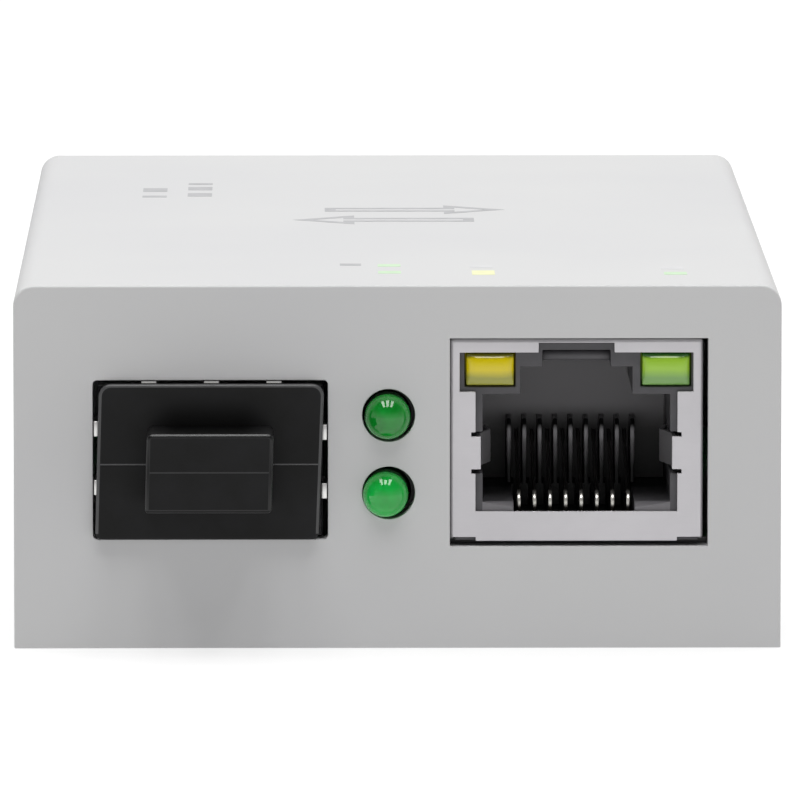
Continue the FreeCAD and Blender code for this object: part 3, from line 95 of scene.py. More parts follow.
def addGrain(material, shader, colours, patchMm, roughness, grainMm, bumpMm, stretch=(1, 1, 1)):
    # slow colour drift, a varied gloss and a fine relief, all from the piece's own coordinates
    place = addNode(material, "TexCoord").outputs["Object"]
    stretched = addNode(material, "Mapping", {"Scale": stretch}, {"Vector": place}).outputs["Vector"]
    patch = addNode(material, "TexNoise", {"Scale": perMetre(patchMm), "Detail": 3.0}, {"Vector": place})
    ramp = addNode(material, "ValToRGB", links={"Fac": patch.outputs["Fac"]})
    ramp.color_ramp.elements[0].position = 0.35
    ramp.color_ramp.elements[1].position = 0.65
    ramp.color_ramp.elements[0].color = toLinear(colours[0])
    ramp.color_ramp.elements[1].color = toLinear(colours[1])
    grain = addNode(
        material, "TexNoise", {"Scale": perMetre(grainMm), "Detail": 2.0, "Roughness": 0.6},
        {"Vector": stretched},
    )
    gloss = addNode(
        material, "MapRange", {"To Min": roughness[0], "To Max": roughness[1]},
        {"Value": grain.outputs["Fac"]},
    )
    bump = addNode(
        material, "Bump", {"Strength": 1.0, "Distance": bumpMm * mm}, {"Height": grain.outputs["Fac"]}
    )
    links = material.node_tree.links
    links.new(ramp.outputs["Color"], shader.inputs["Base Color"])
    links.new(gloss.outputs["Result"], shader.inputs["Roughness"])
    links.new(bump.outputs["Normal"], shader.inputs["Normal"])
    return ramp.outputs["Color"]


def splitPlace(material):
    place = addNode(material, "TexCoord").outputs["Object"]
    return addNode(material, "SeparateXYZ", links={"Vector": place}).outputs


def fade(material, value, start, end, low=0.0, high=1.0):
    # a soft change between two places in millimetres
    return addNode(
        material, "MapRange", {"From Min": start * mm, "From Max": end * mm, "To Min": low, "To Max": high},
        {"Value": value}, interpolation_type="SMOOTHSTEP",
    ).outputs["Result"]


def multiply(material, first, second):
    return addNode(material, "Math", links={0: first, 1: second}, operation="MULTIPLY").outputs["Value"]


def patchBetween(material, value, rise, fall):
    # a soft patch along one direction, from where it starts to rise to where it has faded again
    return multiply(material, fade(material, value, *rise), fade(material, value, *fall))


def twoTone(material, factor, dark, pale):
    ramp = addNode(material, "ValToRGB", links={"Fac": factor})
    ramp.color_ramp.elements[0].color = toLinear(dark)
    ramp.color_ramp.elements[1].color = toLinear(pale)
    return ramp.outputs["Color"]


def mixColour(material, factor, first, second):
    # the second is a colour of its own or another node's
    mixed = addNode(material, "Mix", {}, {"Factor": factor, "A": first}, data_type="RGBA")
    if isinstance(second, str):
        mixed.inputs["B"].default_value = toLinear(second)
    else:
        material.node_tree.links.new(second, mixed.inputs["B"])
    return mixed.outputs["Result"]


def closeTo(material, value, middle, reach):
    # one within so many millimetres of a place, and nothing outside
    return addNode(
        material, "Math", {1: middle * mm, 2: reach * mm}, {0: value}, operation="COMPARE"
    ).outputs["Value"]


def addPartingHighlight(material, colourSoFar, marks):
    # a hair-thin pale line along the moulding's parting step: a painted highlight of the step's ledge,
    # fainter on the grip
    place = splitPlace(material)
    near = closeTo(material, place["Z"], marks["partingZ"], marks["lineHalf"])
    fading = fade(material, place["Y"], *marks["lineFade"])
    return mixColour(material, multiply(material, near, fading), colourSoFar, marks["lineColour"])


def cleanCopy(node):
    # the CAD node's loose triangles merged, and its flat areas joined into single faces
    bm = bmesh.new()
    bm.from_mesh(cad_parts[node].data)
    bmesh.ops.remove_doubles(bm, verts=bm.verts, dist=sameSpot * mm)
    bmesh.ops.dissolve_limit(bm, angle_limit=math.radians(flatWithin), verts=bm.verts, edges=bm.edges)
    return bm


def makePiece(bm, name, material, body="converter", stands=(), slot=None, edge=0, segments=2,
              second=None):
    mesh = bpy.data.meshes.new(name)
    bm.to_mesh(mesh)
    bm.free()
    mesh.shade_smooth()
    mesh.materials.append(material)
    if second:
        mesh.materials.append(second)
    piece = bpy.data.objects.new(name, mesh)
    bpy.context.scene.collection.objects.link(piece)
    if edge:
        bevel = piece.modifiers.new("edges", "BEVEL")
        bevel.width = edge * mm
        bevel.segments = segments
        bevel.limit_method = "ANGLE"
        bevel.angle_limit = math.radians(roundOver)
        bevel.use_clamp_overlap = False
        # large faces rule the shading, so flat walls stay flat up to their rounded edges
        piece.modifiers.new("flatWalls", "WEIGHTED_NORMAL").weight = 50
    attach(piece, body)
    if stands:
        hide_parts(*stands)
    return piece


def box(bm, low, high):
    # a box between two corners in millimetres
    made = bmesh.ops.create_cube(bm, size=1.0)["verts"]
    low, high = Vector(low) * mm, Vector(high) * mm
    bmesh.ops.scale(bm, vec=high - low, verts=made)
    bmesh.ops.translate(bm, vec=(low + high) / 2, verts=made)
    return made


def bevelEdges(bm, edges, radius, segments=4):
    return bmesh.ops.bevel(
        bm, geom=edges, offset=radius * mm, offset_type="OFFSET", affect="EDGES",
        segments=segments, profile=0.5, material=-1, clamp_overlap=True,
    )


def edgesOf(verts):
    return list({edge for vert in verts for edge in vert.link_edges})


def nodeBox(node):
    low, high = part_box(node)
    return Vector(low) / mm, Vector(high) / mm


# ABS, injection moulded in a finely spark-eroded tool: pale grey, even, with a soft satin sheen
caseAbs, shader = newMaterial("mouldedAbs", IOR=1.53, Specular_IOR_Level=0.3)
addGrain(caseAbs, shader, ("#C1C1C2", "#C4C4C4"), 30.0, (0.50, 0.58), 0.16, 0.003)

baseAbs, shader = newMaterial("mouldedAbsBase", IOR=1.53, Specular_IOR_Level=0.3)
addGrain(baseAbs, shader, ("#C0C0C2", "#C5C5C6"), 20.0, (0.50, 0.62), 0.20, 0.005)

# where the plug's colour changes, each as start and end in millimetres
plugMarks = {
    "shadeOver": ((14.5, 14.7), (16.9, 15.2)), "shadeAcross": ((-16.6, -14.2), (-7.9, -10.2)),
    "partingZ": 12.17, "lineHalf": 0.045, "lineFade": (-44.0, -43.4, 0.35, 1.0), "lineColour": "#5A5A5B",
    "gripRims": (-43.7, -44.0),
}

# TPE, soft moulded: black with a low silky sheen that lightens its rounded edges
plugTpe, shader = newMaterial("mouldedTpe", IOR=1.5, Specular_IOR_Level=0.13)
plain = addGrain(plugTpe, shader, ("#191919", "#1D1D1E"), 2.2, (0.34, 0.44), 0.12, 0.002)
place = splitPlace(plugTpe)
over = patchBetween(plugTpe, place["Z"], *plugMarks["shadeOver"])
across = patchBetween(plugTpe, place["X"], *plugMarks["shadeAcross"])
shadeAboveGrip = multiply(plugTpe, over, across)  # painted shade: deepest black in the corner above the grip, where the grip shades the flange
colour = mixColour(plugTpe, shadeAboveGrip, plain, "#020202")
colour = addPartingHighlight(plugTpe, colour, plugMarks)
plugTpe.node_tree.links.new(colour, shader.inputs["Base Color"])

# the same TPE, glossier and painted lighter on its rounded rims: a painted highlight of the rims catching
# light, kept dark on the grip's rims
rimHighlightTpe, shader = newMaterial("rimHighlightTpe", IOR=1.5, Specular_IOR_Level=0.45)
plain = addGrain(rimHighlightTpe, shader, ("#414142", "#484849"), 1.2, (0.28, 0.36), 0.12, 0.002)
onGrip = fade(rimHighlightTpe, splitPlace(rimHighlightTpe)["Y"], *plugMarks["gripRims"])
colour = mixColour(rimHighlightTpe, onGrip, plain, "#0B0B0C")
rimHighlightTpe.node_tree.links.new(colour, shader.inputs["Base Color"])

# where the jack's moulding changes colour, in millimetres
jackMarks = {
    "noseRise": (10.2, 12.8), "noseTop": (12.9, 13.4), "noses": (-34.4, -33.6),
    "wallRise": (12.4, 14.6), "farWall": (-31.6, -31.3),
    "lipHeight": (9.62, 9.52), "lipFront": (-41.2, -41.4), "lipMiddle": 11.66, "lipHalf": 6.12,
}

# PBT with glass fibre, moulded: charcoal, slightly streaked, duller than the plug
jackPbt, shader = newMaterial("mouldedPbt", IOR=1.57, Specular_IOR_Level=0.35)
plain = addGrain(jackPbt, shader, ("#444346", "#4D4C4F"), 1.6, (0.34, 0.50), 0.10, 0.003, (1, 0.35, 1))
place = splitPlace(jackPbt)
# painted light deep in the cavity: the comb's noses are painted pale where light from the mouth reaches them
# and dark at their tops, the far wall pale only at its top and dark below
noseLightAndShade = twoTone(jackPbt, fade(jackPbt, place["Z"], *jackMarks["noseRise"]), "#0C0C0D", "#ACAAAD")
noseLightAndShade = mixColour(jackPbt, fade(jackPbt, place["Z"], *jackMarks["noseTop"]), noseLightAndShade, "#101011")
colour = mixColour(jackPbt, fade(jackPbt, place["Y"], *jackMarks["noses"]), plain, noseLightAndShade)
wallLightAndShade = twoTone(jackPbt, fade(jackPbt, place["Z"], *jackMarks["wallRise"]), "#060606", "#858386")
colour = mixColour(jackPbt, fade(jackPbt, place["Y"], *jackMarks["farWall"]), colour, wallLightAndShade)
# the lip of the cavity's floor is painted pale: a painted highlight of its chamfered edge
lipHeight = fade(jackPbt, place["Z"], *jackMarks["lipHeight"])
lipFront = fade(jackPbt, place["Y"], *jackMarks["lipFront"])
lipAcross = closeTo(jackPbt, place["X"], jackMarks["lipMiddle"], jackMarks["lipHalf"])
litLip = multiply(jackPbt, multiply(jackPbt, lipHeight, lipFront), lipAcross)
colour = mixColour(jackPbt, litLip, colour, "#706E71")
jackPbt.node_tree.links.new(colour, shader.inputs["Base Color"])

# the same PBT in black: housings and holders
blackPbt, shader = newMaterial("mouldedPbtBlack", IOR=1.57, Specular_IOR_Level=0.5)
addGrain(blackPbt, shader, ("#151516", "#1C1C1D"), 1.6, (0.40, 0.55), 0.10, 0.003, (1, 0.35, 1))

# copper alloy sheet, rolled and nickel plated: cool pale metal with fine rolling lines and a broad reflection
nickel, shader = newMaterial("platedNickel", Metallic=1.0)
addGrain(nickel, shader, ("#CAC8CB", "#D0CED1"), 6.0, (0.48, 0.58), 0.08, 0.0008, (0.12, 1, 1))

# stainless spring strip, pressed and bright dipped: lighter and smoother than the plated sheet
springSteel, shader = newMaterial("rolledSpringSteel", Metallic=1.0)
addGrain(springSteel, shader, ("#DFDEDC", "#E8E7E5"), 1.5, (0.26, 0.38), 0.06, 0.001, (1, 0.15, 1))

# the same sheet painted dark and grey round the mouth: painted shade, where the window shades the sheet's cut
# edges and the collar's band
shadedSheetSteel, shader = newMaterial("shadedSheetSteel", Metallic=1.0)
addGrain(shadedSheetSteel, shader, ("#2C2C2E", "#3C3C3E"), 0.5, (0.5, 0.65), 0.05, 0.002)

wireMarks = {"behindBend": (-39.9, -39.4), "belowBend": (9.25, 8.95)}

# phosphor bronze wire, drawn and gold flashed over nickel: pale, and almost mirror-like where it bends
goldWire, shader = newMaterial("goldFlashedWire", Metallic=1.0)
plain = addGrain(goldWire, shader, ("#F3F0E8", "#F8F5EE"), 0.8, (0.30, 0.38), 0.05, 0.0004, (1, 0.2, 1))
place = splitPlace(goldWire)  # painted shade: below the bend and behind it the wire is painted dark, where the jack shades it
colour = mixColour(goldWire, fade(goldWire, place["Y"], *wireMarks["behindBend"]), plain, "#2E2B28")
colour = mixColour(goldWire, fade(goldWire, place["Z"], *wireMarks["belowBend"]), colour, "#3A3733")
goldWire.node_tree.links.new(colour, shader.inputs["Base Color"])

# carbon steel, cold headed and zinc plated: bluish grey with a cloudy passivation
zincSteel, shader = newMaterial("platedZinc", Metallic=1.0)
addGrain(zincSteel, shader, ("#A9ACB1", "#BFC2C6"), 0.9, (0.28, 0.46), 0.12, 0.0015)

# aluminium, deep drawn: bright soft metal with a fine vertical draw
drawnAluminium, shader = newMaterial("drawnAluminium", Metallic=1.0)
addGrain(drawnAluminium, shader, ("#CFCFD1", "#DBDBDC"), 2.0, (0.26, 0.36), 0.10, 0.001, (1, 1, 0.1))

# epoxy moulding compound, transfer moulded: charcoal with a fine mineral speckle
chipEpoxy, shader = newMaterial("mouldedEpoxy", IOR=1.55)
addGrain(chipEpoxy, shader, ("#202022", "#2A2A2C"), 0.5, (0.55, 0.70), 0.10, 0.004)

# manganese zinc ferrite, pressed and sintered: dense dark grey, a little granular
ferrite, shader = newMaterial("sinteredFerrite", IOR=1.6)
addGrain(ferrite, shader, ("#3A3A3D", "#47474A"), 0.7, (0.45, 0.65), 0.15, 0.01)

# barium titanate, fired: tan ceramic, slightly waxy
firedCeramic, shader = newMaterial("firedCeramic", IOR=1.6)
addGrain(firedCeramic, shader, ("#9C8264", "#AE9473"), 0.6, (0.40, 0.55), 0.10, 0.003)


routedEdge = (-39.8, -40.2)  # where the board's coating ends at its front edge, in millimetres


def makeBoardMaterial():
    # glass-epoxy laminate, etched and coated with solder mask: deep green, its tracks raised and paler
    material, shader = newMaterial("coatedLaminate", IOR=1.5, Coat_Weight=0.4, Coat_Roughness=0.2)
    place = addNode(material, "TexCoord").outputs["Object"]
    tracks = addNode(
        material, "TexBrick",
        {"Scale": perMetre(6.0), "Mortar Size": 0.03, "Mortar Smooth": 0.2, "Brick Width": 0.9,
         "Row Height": 0.21},
        {"Vector": place},
    )
    drift = addNode(material, "TexNoise", {"Scale": perMetre(9.0), "Detail": 2.0}, {"Vector": place})
    mask = addNode(material, "Mix", {}, {"Factor": drift.outputs["Fac"]}, data_type="RGBA")
    mask.inputs["A"].default_value = toLinear("#0C4A22")
    mask.inputs["B"].default_value = toLinear("#0F5528")
    lines = mixColour(material, tracks.outputs["Fac"], mask.outputs["Result"], "#1C7038")
    bump = addNode(material, "Bump", {"Distance": 0.02 * mm}, {"Height": tracks.outputs["Fac"]})
    links = material.node_tree.links
    # the routed front edge is bare glass and epoxy, sooty grey
    edge = fade(material, splitPlace(material)["Y"], *routedEdge)
    colour = mixColour(material, edge, lines, "#3A3B3B")
    links.new(colour, shader.inputs["Base Color"])
    links.new(bump.outputs["Normal"], shader.inputs["Normal"])
    shader.inputs["Roughness"].default_value = 0.35
    return material


def makeLampMaterial(name, low, middle, high, bottomMm, topMm, strength):
    # epoxy, cast and tinted: saturated across the middle where the cup shows, greyer below where the floor's
    # reflection is painted in, darker at the top
    material, shader = newMaterial(
        name, IOR=1.52, Roughness=0.12, Coat_Weight=0.3, Coat_Roughness=0.03, Emission_Strength=strength
    )
    place = addNode(material, "TexCoord").outputs["Object"]
    height = addNode(material, "SeparateXYZ", links={"Vector": place}).outputs["Z"]
    haze = addNode(material, "TexNoise", {"Scale": perMetre(1.2), "Detail": 1.0}, {"Vector": place})
    level = addNode(
        material, "MapRange", {"From Min": bottomMm * mm, "From Max": topMm * mm}, {"Value": height}
    )
    mixed = addNode(
        material, "Math", {1: 0.12}, {0: haze.outputs["Fac"], 2: level.outputs["Result"]},
        operation="MULTIPLY_ADD",
    )
    ramp = addNode(material, "ValToRGB", links={"Fac": mixed.outputs["Value"]})
    ramp.color_ramp.elements.new(0.4)
    ramp.color_ramp.elements.new(0.9)
    for stop, (position, colour) in zip(
        ramp.color_ramp.elements, ((0.30, low), (0.56, middle), (0.90, middle), (1.0, high))
    ):
        stop.position = position
        stop.color = toLinear(colour)
    links = material.node_tree.links
    links.new(ramp.outputs["Color"], shader.inputs["Base Color"])
    links.new(ramp.outputs["Color"], shader.inputs["Emission Color"])
    return material


def makeInk(name, colour):
    # two-part ink, pad printed: thin, flat and slightly open at its edges
    material, shader = newMaterial(name, IOR=1.5, Specular_IOR_Level=0.3)
    darker = "#" + "".join(f"{max(0, int(colour[i:i + 2], 16) - 8):02X}" for i in (1, 3, 5))
    addGrain(material, shader, (darker, colour), 1.0, (0.5, 0.65), 0.12, 0.002)
    return material


print("materials made")

# case: the moulded cover and the plate under it
cover = {"edge": 0.05}
plate = {"edge": 0.08}
makePiece(cleanCopy("top_cover"), "coverShell", caseAbs, stands=["top_cover"], slot="case_plastic", **cover)
makePiece(cleanCopy("base_plate"), "basePlate", baseAbs, stands=["base_plate"], slot="base_plastic", **plate)
print("case made")

# dust plug: flange and grip are built here, the hollow part behind them is the CAD node's
plug = {
    "centreX": -12.21, "middleZ": 12.32, "flangeWidth": 14.7, "flangeHeight": 10.2,
    "flangeFront": -43.2, "flangeBack": -42.40, "cornerRadius": 0.8, "edgeRadius": 0.2,
    "gripWidth": 8.25, "gripHeight": 5.18, "gripZ": 12.085, "gripFront": -47.46,
    "gripCorner": 0.42, "gripEdge": 0.32, "gripSunk": 0.4, "partingZ": plugMarks["partingZ"],
    "step": 0.05, "gripStep": 0.6, "stepTall": 0.06, "faceDepth": 0.3, "shellGap": 0.01,
    "lean": 0.027, "leanBehind": 0.5, "pinch": 0.1, "pinchSlope": 0.011,
}
# shares of the corner and of the height, steps round each curve, and the tilt from which a rim gets no
# painted highlight
blockLook = {"lowerCorner": 0.6, "cornerSteps": 8, "edgeSteps": 6, "unlitBelow": 0.46, "unlitTilt": -0.2}


def roundedBlock(width, height, middle, front, back, corner, edge):
    # a block with rounded corners, whose front edge is rounded as well
    bm = bmesh.new()
    block = box(bm, (-width / 2, front, middle - height / 2), (width / 2, back, middle + height / 2))
    upright = [e for e in edgesOf(block) if abs((e.verts[0].co - e.verts[1].co).normalized().y) > 0.9]
    above = [e for e in upright if e.verts[0].co.z / mm > middle]
    below = [e for e in upright if e not in above]
    bevelEdges(bm, above, corner, blockLook["cornerSteps"])
    bevelEdges(bm, below, corner * blockLook["lowerCorner"], blockLook["cornerSteps"])
    rim = [e for e in bm.edges if all(abs(v.co.y / mm - front) < 1e-3 for v in e.verts)]
    rounded = bevelEdges(bm, rim, edge, blockLook["edgeSteps"])["faces"]
    bm.normal_update()
    lowest = middle - height * blockLook["unlitBelow"]
    for face in rounded:  # only rims facing up and sideways get the painted highlight, not the underside
        getsHighlight = face.normal.z > blockLook["unlitTilt"] and face.calc_center_median().z / mm > lowest
        face.material_index = int(getsHighlight)
    return bm


def offsetLowerHalf(bm, p, front, proud):
    # the tool's halves don't quite meet: below the parting line the face stands a little further out
    level = p["partingZ"]
    for height in (level, level - p["stepTall"]):
        bmesh.ops.bisect_plane(
            bm, geom=bm.verts[:] + bm.edges[:] + bm.faces[:], plane_co=(0, 0, height * mm), plane_no=(0, 0, 1)
        )
    for vert in bm.verts:
        if vert.co.z / mm < level - p["stepTall"] / 2 and vert.co.y / mm < front + p["faceDepth"]:
            vert.co.y -= proud * mm
    return bm


def joinMeshes(parts):
    whole = bmesh.new()
    for part in parts:
        mesh = bpy.data.meshes.new("part")
        part.to_mesh(mesh)
        part.free()
        whole.from_mesh(mesh)
        bpy.data.meshes.remove(mesh)
    return whole


def makePlugShell(p):
    # the hollow part behind the flange, from the CAD node cut off at the flange
    bm = cleanCopy("dust_plug")
    cut = Vector((0, (p["flangeBack"] + p["shellGap"]) * mm, 0))
    bmesh.ops.bisect_plane(
        bm, geom=bm.verts[:] + bm.edges[:] + bm.faces[:], plane_co=cut, plane_no=(0, -1, 0), clear_outer=True
    )
    bmesh.ops.translate(bm, vec=(-p["centreX"] * mm, 0, 0), verts=bm.verts)
    return bm


def makeDustPlug(p):
    flange = roundedBlock(
        p["flangeWidth"], p["flangeHeight"], p["middleZ"], p["flangeFront"], p["flangeBack"],
        p["cornerRadius"], p["edgeRadius"],
    )
    grip = roundedBlock(
        p["gripWidth"], p["gripHeight"], p["gripZ"], p["gripFront"], p["flangeFront"] + p["gripSunk"],
        p["gripCorner"], p["gripEdge"],
    )
    offsetLowerHalf(flange, p, p["flangeFront"], p["step"])
    offsetLowerHalf(grip, p, p["gripFront"], p["step"] * p["gripStep"])
    return joinMeshes([flange, grip, makePlugShell(p)])


whole = makeDustPlug(plug)
for vert in whole.verts:  # soft mouldings sit a little askew: the top leans right, the right side is pinched
    if vert.co.y / mm < plug["flangeBack"] + plug["leanBehind"]:
        height = vert.co.z / mm - plug["middleZ"]
        across = max(0.0, vert.co.x / mm / (plug["flangeWidth"] / 2))
        pinched = across ** 2 * (plug["pinch"] - height * plug["pinchSlope"])
        vert.co.x += (height * plug["lean"] - pinched) * mm
bmesh.ops.translate(whole, vec=(plug["centreX"] * mm, 0, 0), verts=whole.verts)
makePiece(
    whole, "dustPlug", plugTpe, body="dust_plug", stands=["dust_plug"], slot="plug_rubber", edge=0.04,
    second=rimHighlightTpe,
)
print("dust plug made")

# module cage: folded tub and lid, with a collar of spring fingers round the mouth
cage = {"front": -41.5, "facing": -0.8, "edge": 0.05}
collar = {
    "halfWidth": 7.32, "top": 17.22, "levels": (10.55, 14.4), "drop": 0.24, "slide": 0.08,
    "band": 0.02, "fingerDeep": 0.3, "fingerHalf": 0.62, "topHalf": 5.4,
}


def markShadedMouthFaces(bm, p):
    # the narrow faces round the mouth of a folded sheet, which get the painted shade
    for face in bm.faces:
        middle = face.calc_center_median() / mm
        if face.normal.y < p["facing"] and middle.y < p["front"]:
            face.material_index = 1
    return bm


def makeCollar(p):
    bm = cleanCopy("sfp_spring_collar")
    low, high = nodeBox("sfp_cage_tub")
    centre = (low.x + high.x) / 2
    # the band behind the fingers gets the painted shade too, only the fingers stay bright
    for face in bm.faces:
        middle = face.calc_center_median() / mm
        if abs(middle.x - centre) < p["halfWidth"] + p["band"] and middle.z < p["top"]:
            face.material_index = 1
    # the right-hand fingers were pressed a little lower, the top ones a little to the right
    rightFrom, topFrom = centre + p["halfWidth"] - p["fingerDeep"], p["top"] - p["fingerDeep"]
    for vert in bm.verts:
        x, z = vert.co.x / mm, vert.co.z / mm
        if x > rightFrom and min(abs(z - level) for level in p["levels"]) < p["fingerHalf"]:
            vert.co.z -= p["drop"] * mm
        if z > topFrom and abs(x - centre) < p["topHalf"]:
            vert.co.x += p["slide"] * mm
    return bm


for node, name in (("sfp_cage_tub", "cageTub"), ("sfp_cage_lid", "cageLid")):
    sheet = markShadedMouthFaces(cleanCopy(node), cage)
    makePiece(sheet, name, nickel, stands=[node], slot="cage_metal", edge=cage["edge"], second=shadedSheetSteel)
makePiece(
    makeCollar(collar), "springCollar", springSteel, stands=["sfp_spring_collar"],
    slot="cage_metal", edge=cage["edge"], second=shadedSheetSteel,
)
print("cage made")

# modular jack: folded shield, moulded insert, eight bent wires and two lamps
mouth = {
    "shieldBrink": 8.94, "shieldChamfer": 0.12, "floorBrink": 9.5, "floorChamfer": 0.4,
    "halfWidth": 6.7, "near": 0.02,
}


def chamferBrink(node, level, chamfer, p):
    # the front edge of the mouth's floor is broken, so that a plug finds its way in
    bm = cleanCopy(node)
    low, high = nodeBox(node)
    centre = (low.x + high.x) / 2
    brink = [
        edge for edge in bm.edges
        if all(
            abs(v.co.y / mm - low.y) < p["near"] and abs(v.co.z / mm - level) < p["near"]
            and abs(v.co.x / mm - centre) < p["halfWidth"] for v in edge.verts
        )
    ]
    bevelEdges(bm, brink, chamfer, 1)
    return bm


shield = chamferBrink("rj45_shield", mouth["shieldBrink"], mouth["shieldChamfer"], mouth)
makePiece(shield, "jackShield", nickel, stands=["rj45_shield"], slot="shield_metal", edge=0.04)
insert = chamferBrink("rj45_insert", mouth["floorBrink"], mouth["floorChamfer"], mouth)
makePiece(insert, "jackInsert", jackPbt, stands=["rj45_insert"], slot="jack_plastic", edge=0.07)

wire = {
    "width": 0.27, "thick": 0.25, "low": 8.3, "nose": -40.39, "back": -29.6, "front": 9.75, "tip": 13.0,
    "tipY": -30.7, "bend": 0.5, "bendSteps": 8, "pitch": 1.02, "count": 8,
}


def makeContacts(w):
    # each wire is a bent centre line, widened and then given its thickness
    whole = []
    centre = (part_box("rj45_contacts")[0][0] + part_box("rj45_contacts")[1][0]) / 2 / mm
    for number in range(w["count"]):
        bm = bmesh.new()
        x = centre + (number - (w["count"] - 1) / 2) * w["pitch"] - w["width"] / 2
        line = [(w["back"], w["low"]), (w["nose"], w["low"]), (w["nose"], w["front"]), (w["tipY"], w["tip"])]
        verts = [bm.verts.new((x * mm, y * mm, z * mm)) for y, z in line]
        for a, b in zip(verts, verts[1:]):
            bm.edges.new((a, b))
        bmesh.ops.bevel(
            bm, geom=verts[1:3], offset=w["bend"] * mm, offset_type="OFFSET", affect="VERTICES",
            segments=w["bendSteps"], profile=0.5, material=-1,
        )
        swept = bmesh.ops.extrude_edge_only(bm, edges=bm.edges[:])
        moved = [v for v in swept["geom"] if isinstance(v, bmesh.types.BMVert)]
        bmesh.ops.translate(bm, vec=(w["width"] * mm, 0, 0), verts=moved)
        bmesh.ops.recalc_face_normals(bm, faces=bm.faces)
        bmesh.ops.solidify(bm, geom=bm.faces[:], thickness=w["thick"] * mm)
        bmesh.ops.recalc_face_normals(bm, faces=bm.faces)
        whole.append(bm)
    return joinMeshes(whole)


makePiece(
    makeContacts(wire), "jackContacts", goldWire, stands=["rj45_contacts"], slot="contact_metal", edge=0.09,
    segments=3,
)

lipBar = {"halfWidth": 2.2, "z": 19.08, "y": -41.0, "radius": 0.36, "sides": 20}


def makeLipBar(p):
    bm = bmesh.new()
    middle = (nodeBox("rj45_insert")[0].x + nodeBox("rj45_insert")[1].x) / 2
    bmesh.ops.create_cone(
        bm, cap_ends=True, segments=p["sides"], radius1=p["radius"] * mm, radius2=p["radius"] * mm,
        depth=2 * p["halfWidth"] * mm, matrix=Matrix.Rotation(math.pi / 2, 4, "Y"),
    )
    bmesh.ops.translate(bm, vec=(middle * mm, p["y"] * mm, p["z"] * mm), verts=bm.verts)
    return bm


makePiece(makeLipBar(lipBar), "latchLip", jackPbt, slot="jack_plastic", edge=0.05)

lens = {"bulge": 0.38, "across": 28, "down": 20, "sideSharp": 7, "topSharp": 3, "glow": 0.14}


def makeLens(p, low, high):
    # a rectangular lamp whose face swells like a pillow, softly from top to bottom and faster at its sides
    bm = bmesh.new()
    bmesh.ops.create_grid(bm, x_segments=p["across"], y_segments=p["down"], size=1.0)
    rim = [edge for edge in bm.edges if edge.is_boundary]
    back = bmesh.ops.extrude_edge_only(bm, edges=rim)
    behind = [v for v in back["geom"] if isinstance(v, bmesh.types.BMVert)]
    bmesh.ops.holes_fill(bm, edges=[e for e in bm.edges if e.is_boundary], sides=0)
    middle, half = (low + high) / 2, (high - low) / 2
    behindSet = set(behind)
    for vert in bm.verts:
        u, v = vert.co.x, vert.co.y
        swell = p["bulge"] * (1 - abs(u) ** p["sideSharp"]) * (1 - abs(v) ** p["topSharp"])
        y = high.y if vert in behindSet else low.y - swell
        vert.co = Vector((middle.x + u * half.x, y, middle.z + v * half.z)) * mm
    bmesh.ops.recalc_face_normals(bm, faces=bm.faces)
    return bm


lamps = {
    "rj45_lamp_left": ("jackLampYellow", ("#8E8D38", "#C6B404", "#5A5A08"), "jack_yellow_lamp"),
    "rj45_lamp_right": ("jackLampGreen", ("#6C944E", "#8DB634", "#285A1C"), "jack_green_lamp"),
}
for node, (name, colours, slot) in lamps.items():
    low, high = nodeBox(node)
    look = makeLampMaterial(name + "Epoxy", *colours, low.z, high.z, lens["glow"])
    makePiece(makeLens(lens, low, high), name, look, stands=[node], slot=slot, edge=0.08, segments=3)
print("jack made")

# front indicators: two domes on a moulded holder
indicator = {"radius": 1.5, "steps": 16, "foot": 1.0, "turnSteps": 56}


def makeIndicator(p, low, high, lean, turn):
    # a dome on a straight barrel, turned from its half outline; its bent leads leave it a little askew
    bm = bmesh.new()
    r, tip, base = p["radius"], low.y, high.y
    x, z = (low.x + high.x) / 2, (low.z + high.z) / 2
    outline = [(0.0, tip)]
    for step in range(1, p["steps"] + 1):
        angle = math.pi / 2 * step / p["steps"]
        outline.append((r * math.sin(angle), tip + r * (1 - math.cos(angle))))
    outline += [(r, base - p["foot"]), (r, base), (0.0, base)]
    verts = [bm.verts.new(((x + radius) * mm, y * mm, z * mm)) for radius, y in outline]
    edges = [bm.edges.new((a, b)) for a, b in zip(verts, verts[1:])]
    bmesh.ops.spin(
        bm, geom=verts + edges, cent=(x * mm, 0, z * mm), axis=(0, 1, 0), angle=2 * math.pi,
        steps=p["turnSteps"], use_merge=True,
    )
    bmesh.ops.remove_doubles(bm, verts=bm.verts, dist=sameSpot * mm)
    bmesh.ops.recalc_face_normals(bm, faces=bm.faces)
    root = Vector((x, base, z)) * mm
    askew = Matrix.Rotation(math.radians(lean), 3, "Z") @ Matrix.Rotation(math.radians(turn), 3, "X")
    bmesh.ops.rotate(bm, cent=root, matrix=askew, verts=bm.verts)
    return bm


# epoxy, cast and dyed green: glossy and a little milky, and the lower one is the lighter
for node, name, lean, turn, colours in (
    ("upper_indicator", "upperIndicator", 0.5, 0.0, ("#087A20", "#109634")),
    ("lower_indicator", "lowerIndicator", -1.6, 0.3, ("#0C9430", "#18B248")),
):
    greenEpoxy, shader = newMaterial(
        name + "Epoxy", IOR=1.5, Coat_Weight=0.8, Coat_Roughness=0.02, Subsurface_Weight=0.35,
        Subsurface_Scale=0.6 * mm, Specular_IOR_Level=0.25,
    )
    shader.inputs["Subsurface Radius"].default_value = (0.2, 1.0, 0.3)
    addGrain(greenEpoxy, shader, colours, 2.5, (0.03, 0.05), 0.8, 0.0)
    makePiece(
        makeIndicator(indicator, *nodeBox(node), lean, turn), name, greenEpoxy, stands=[node],
        slot="green_lamp",
    )

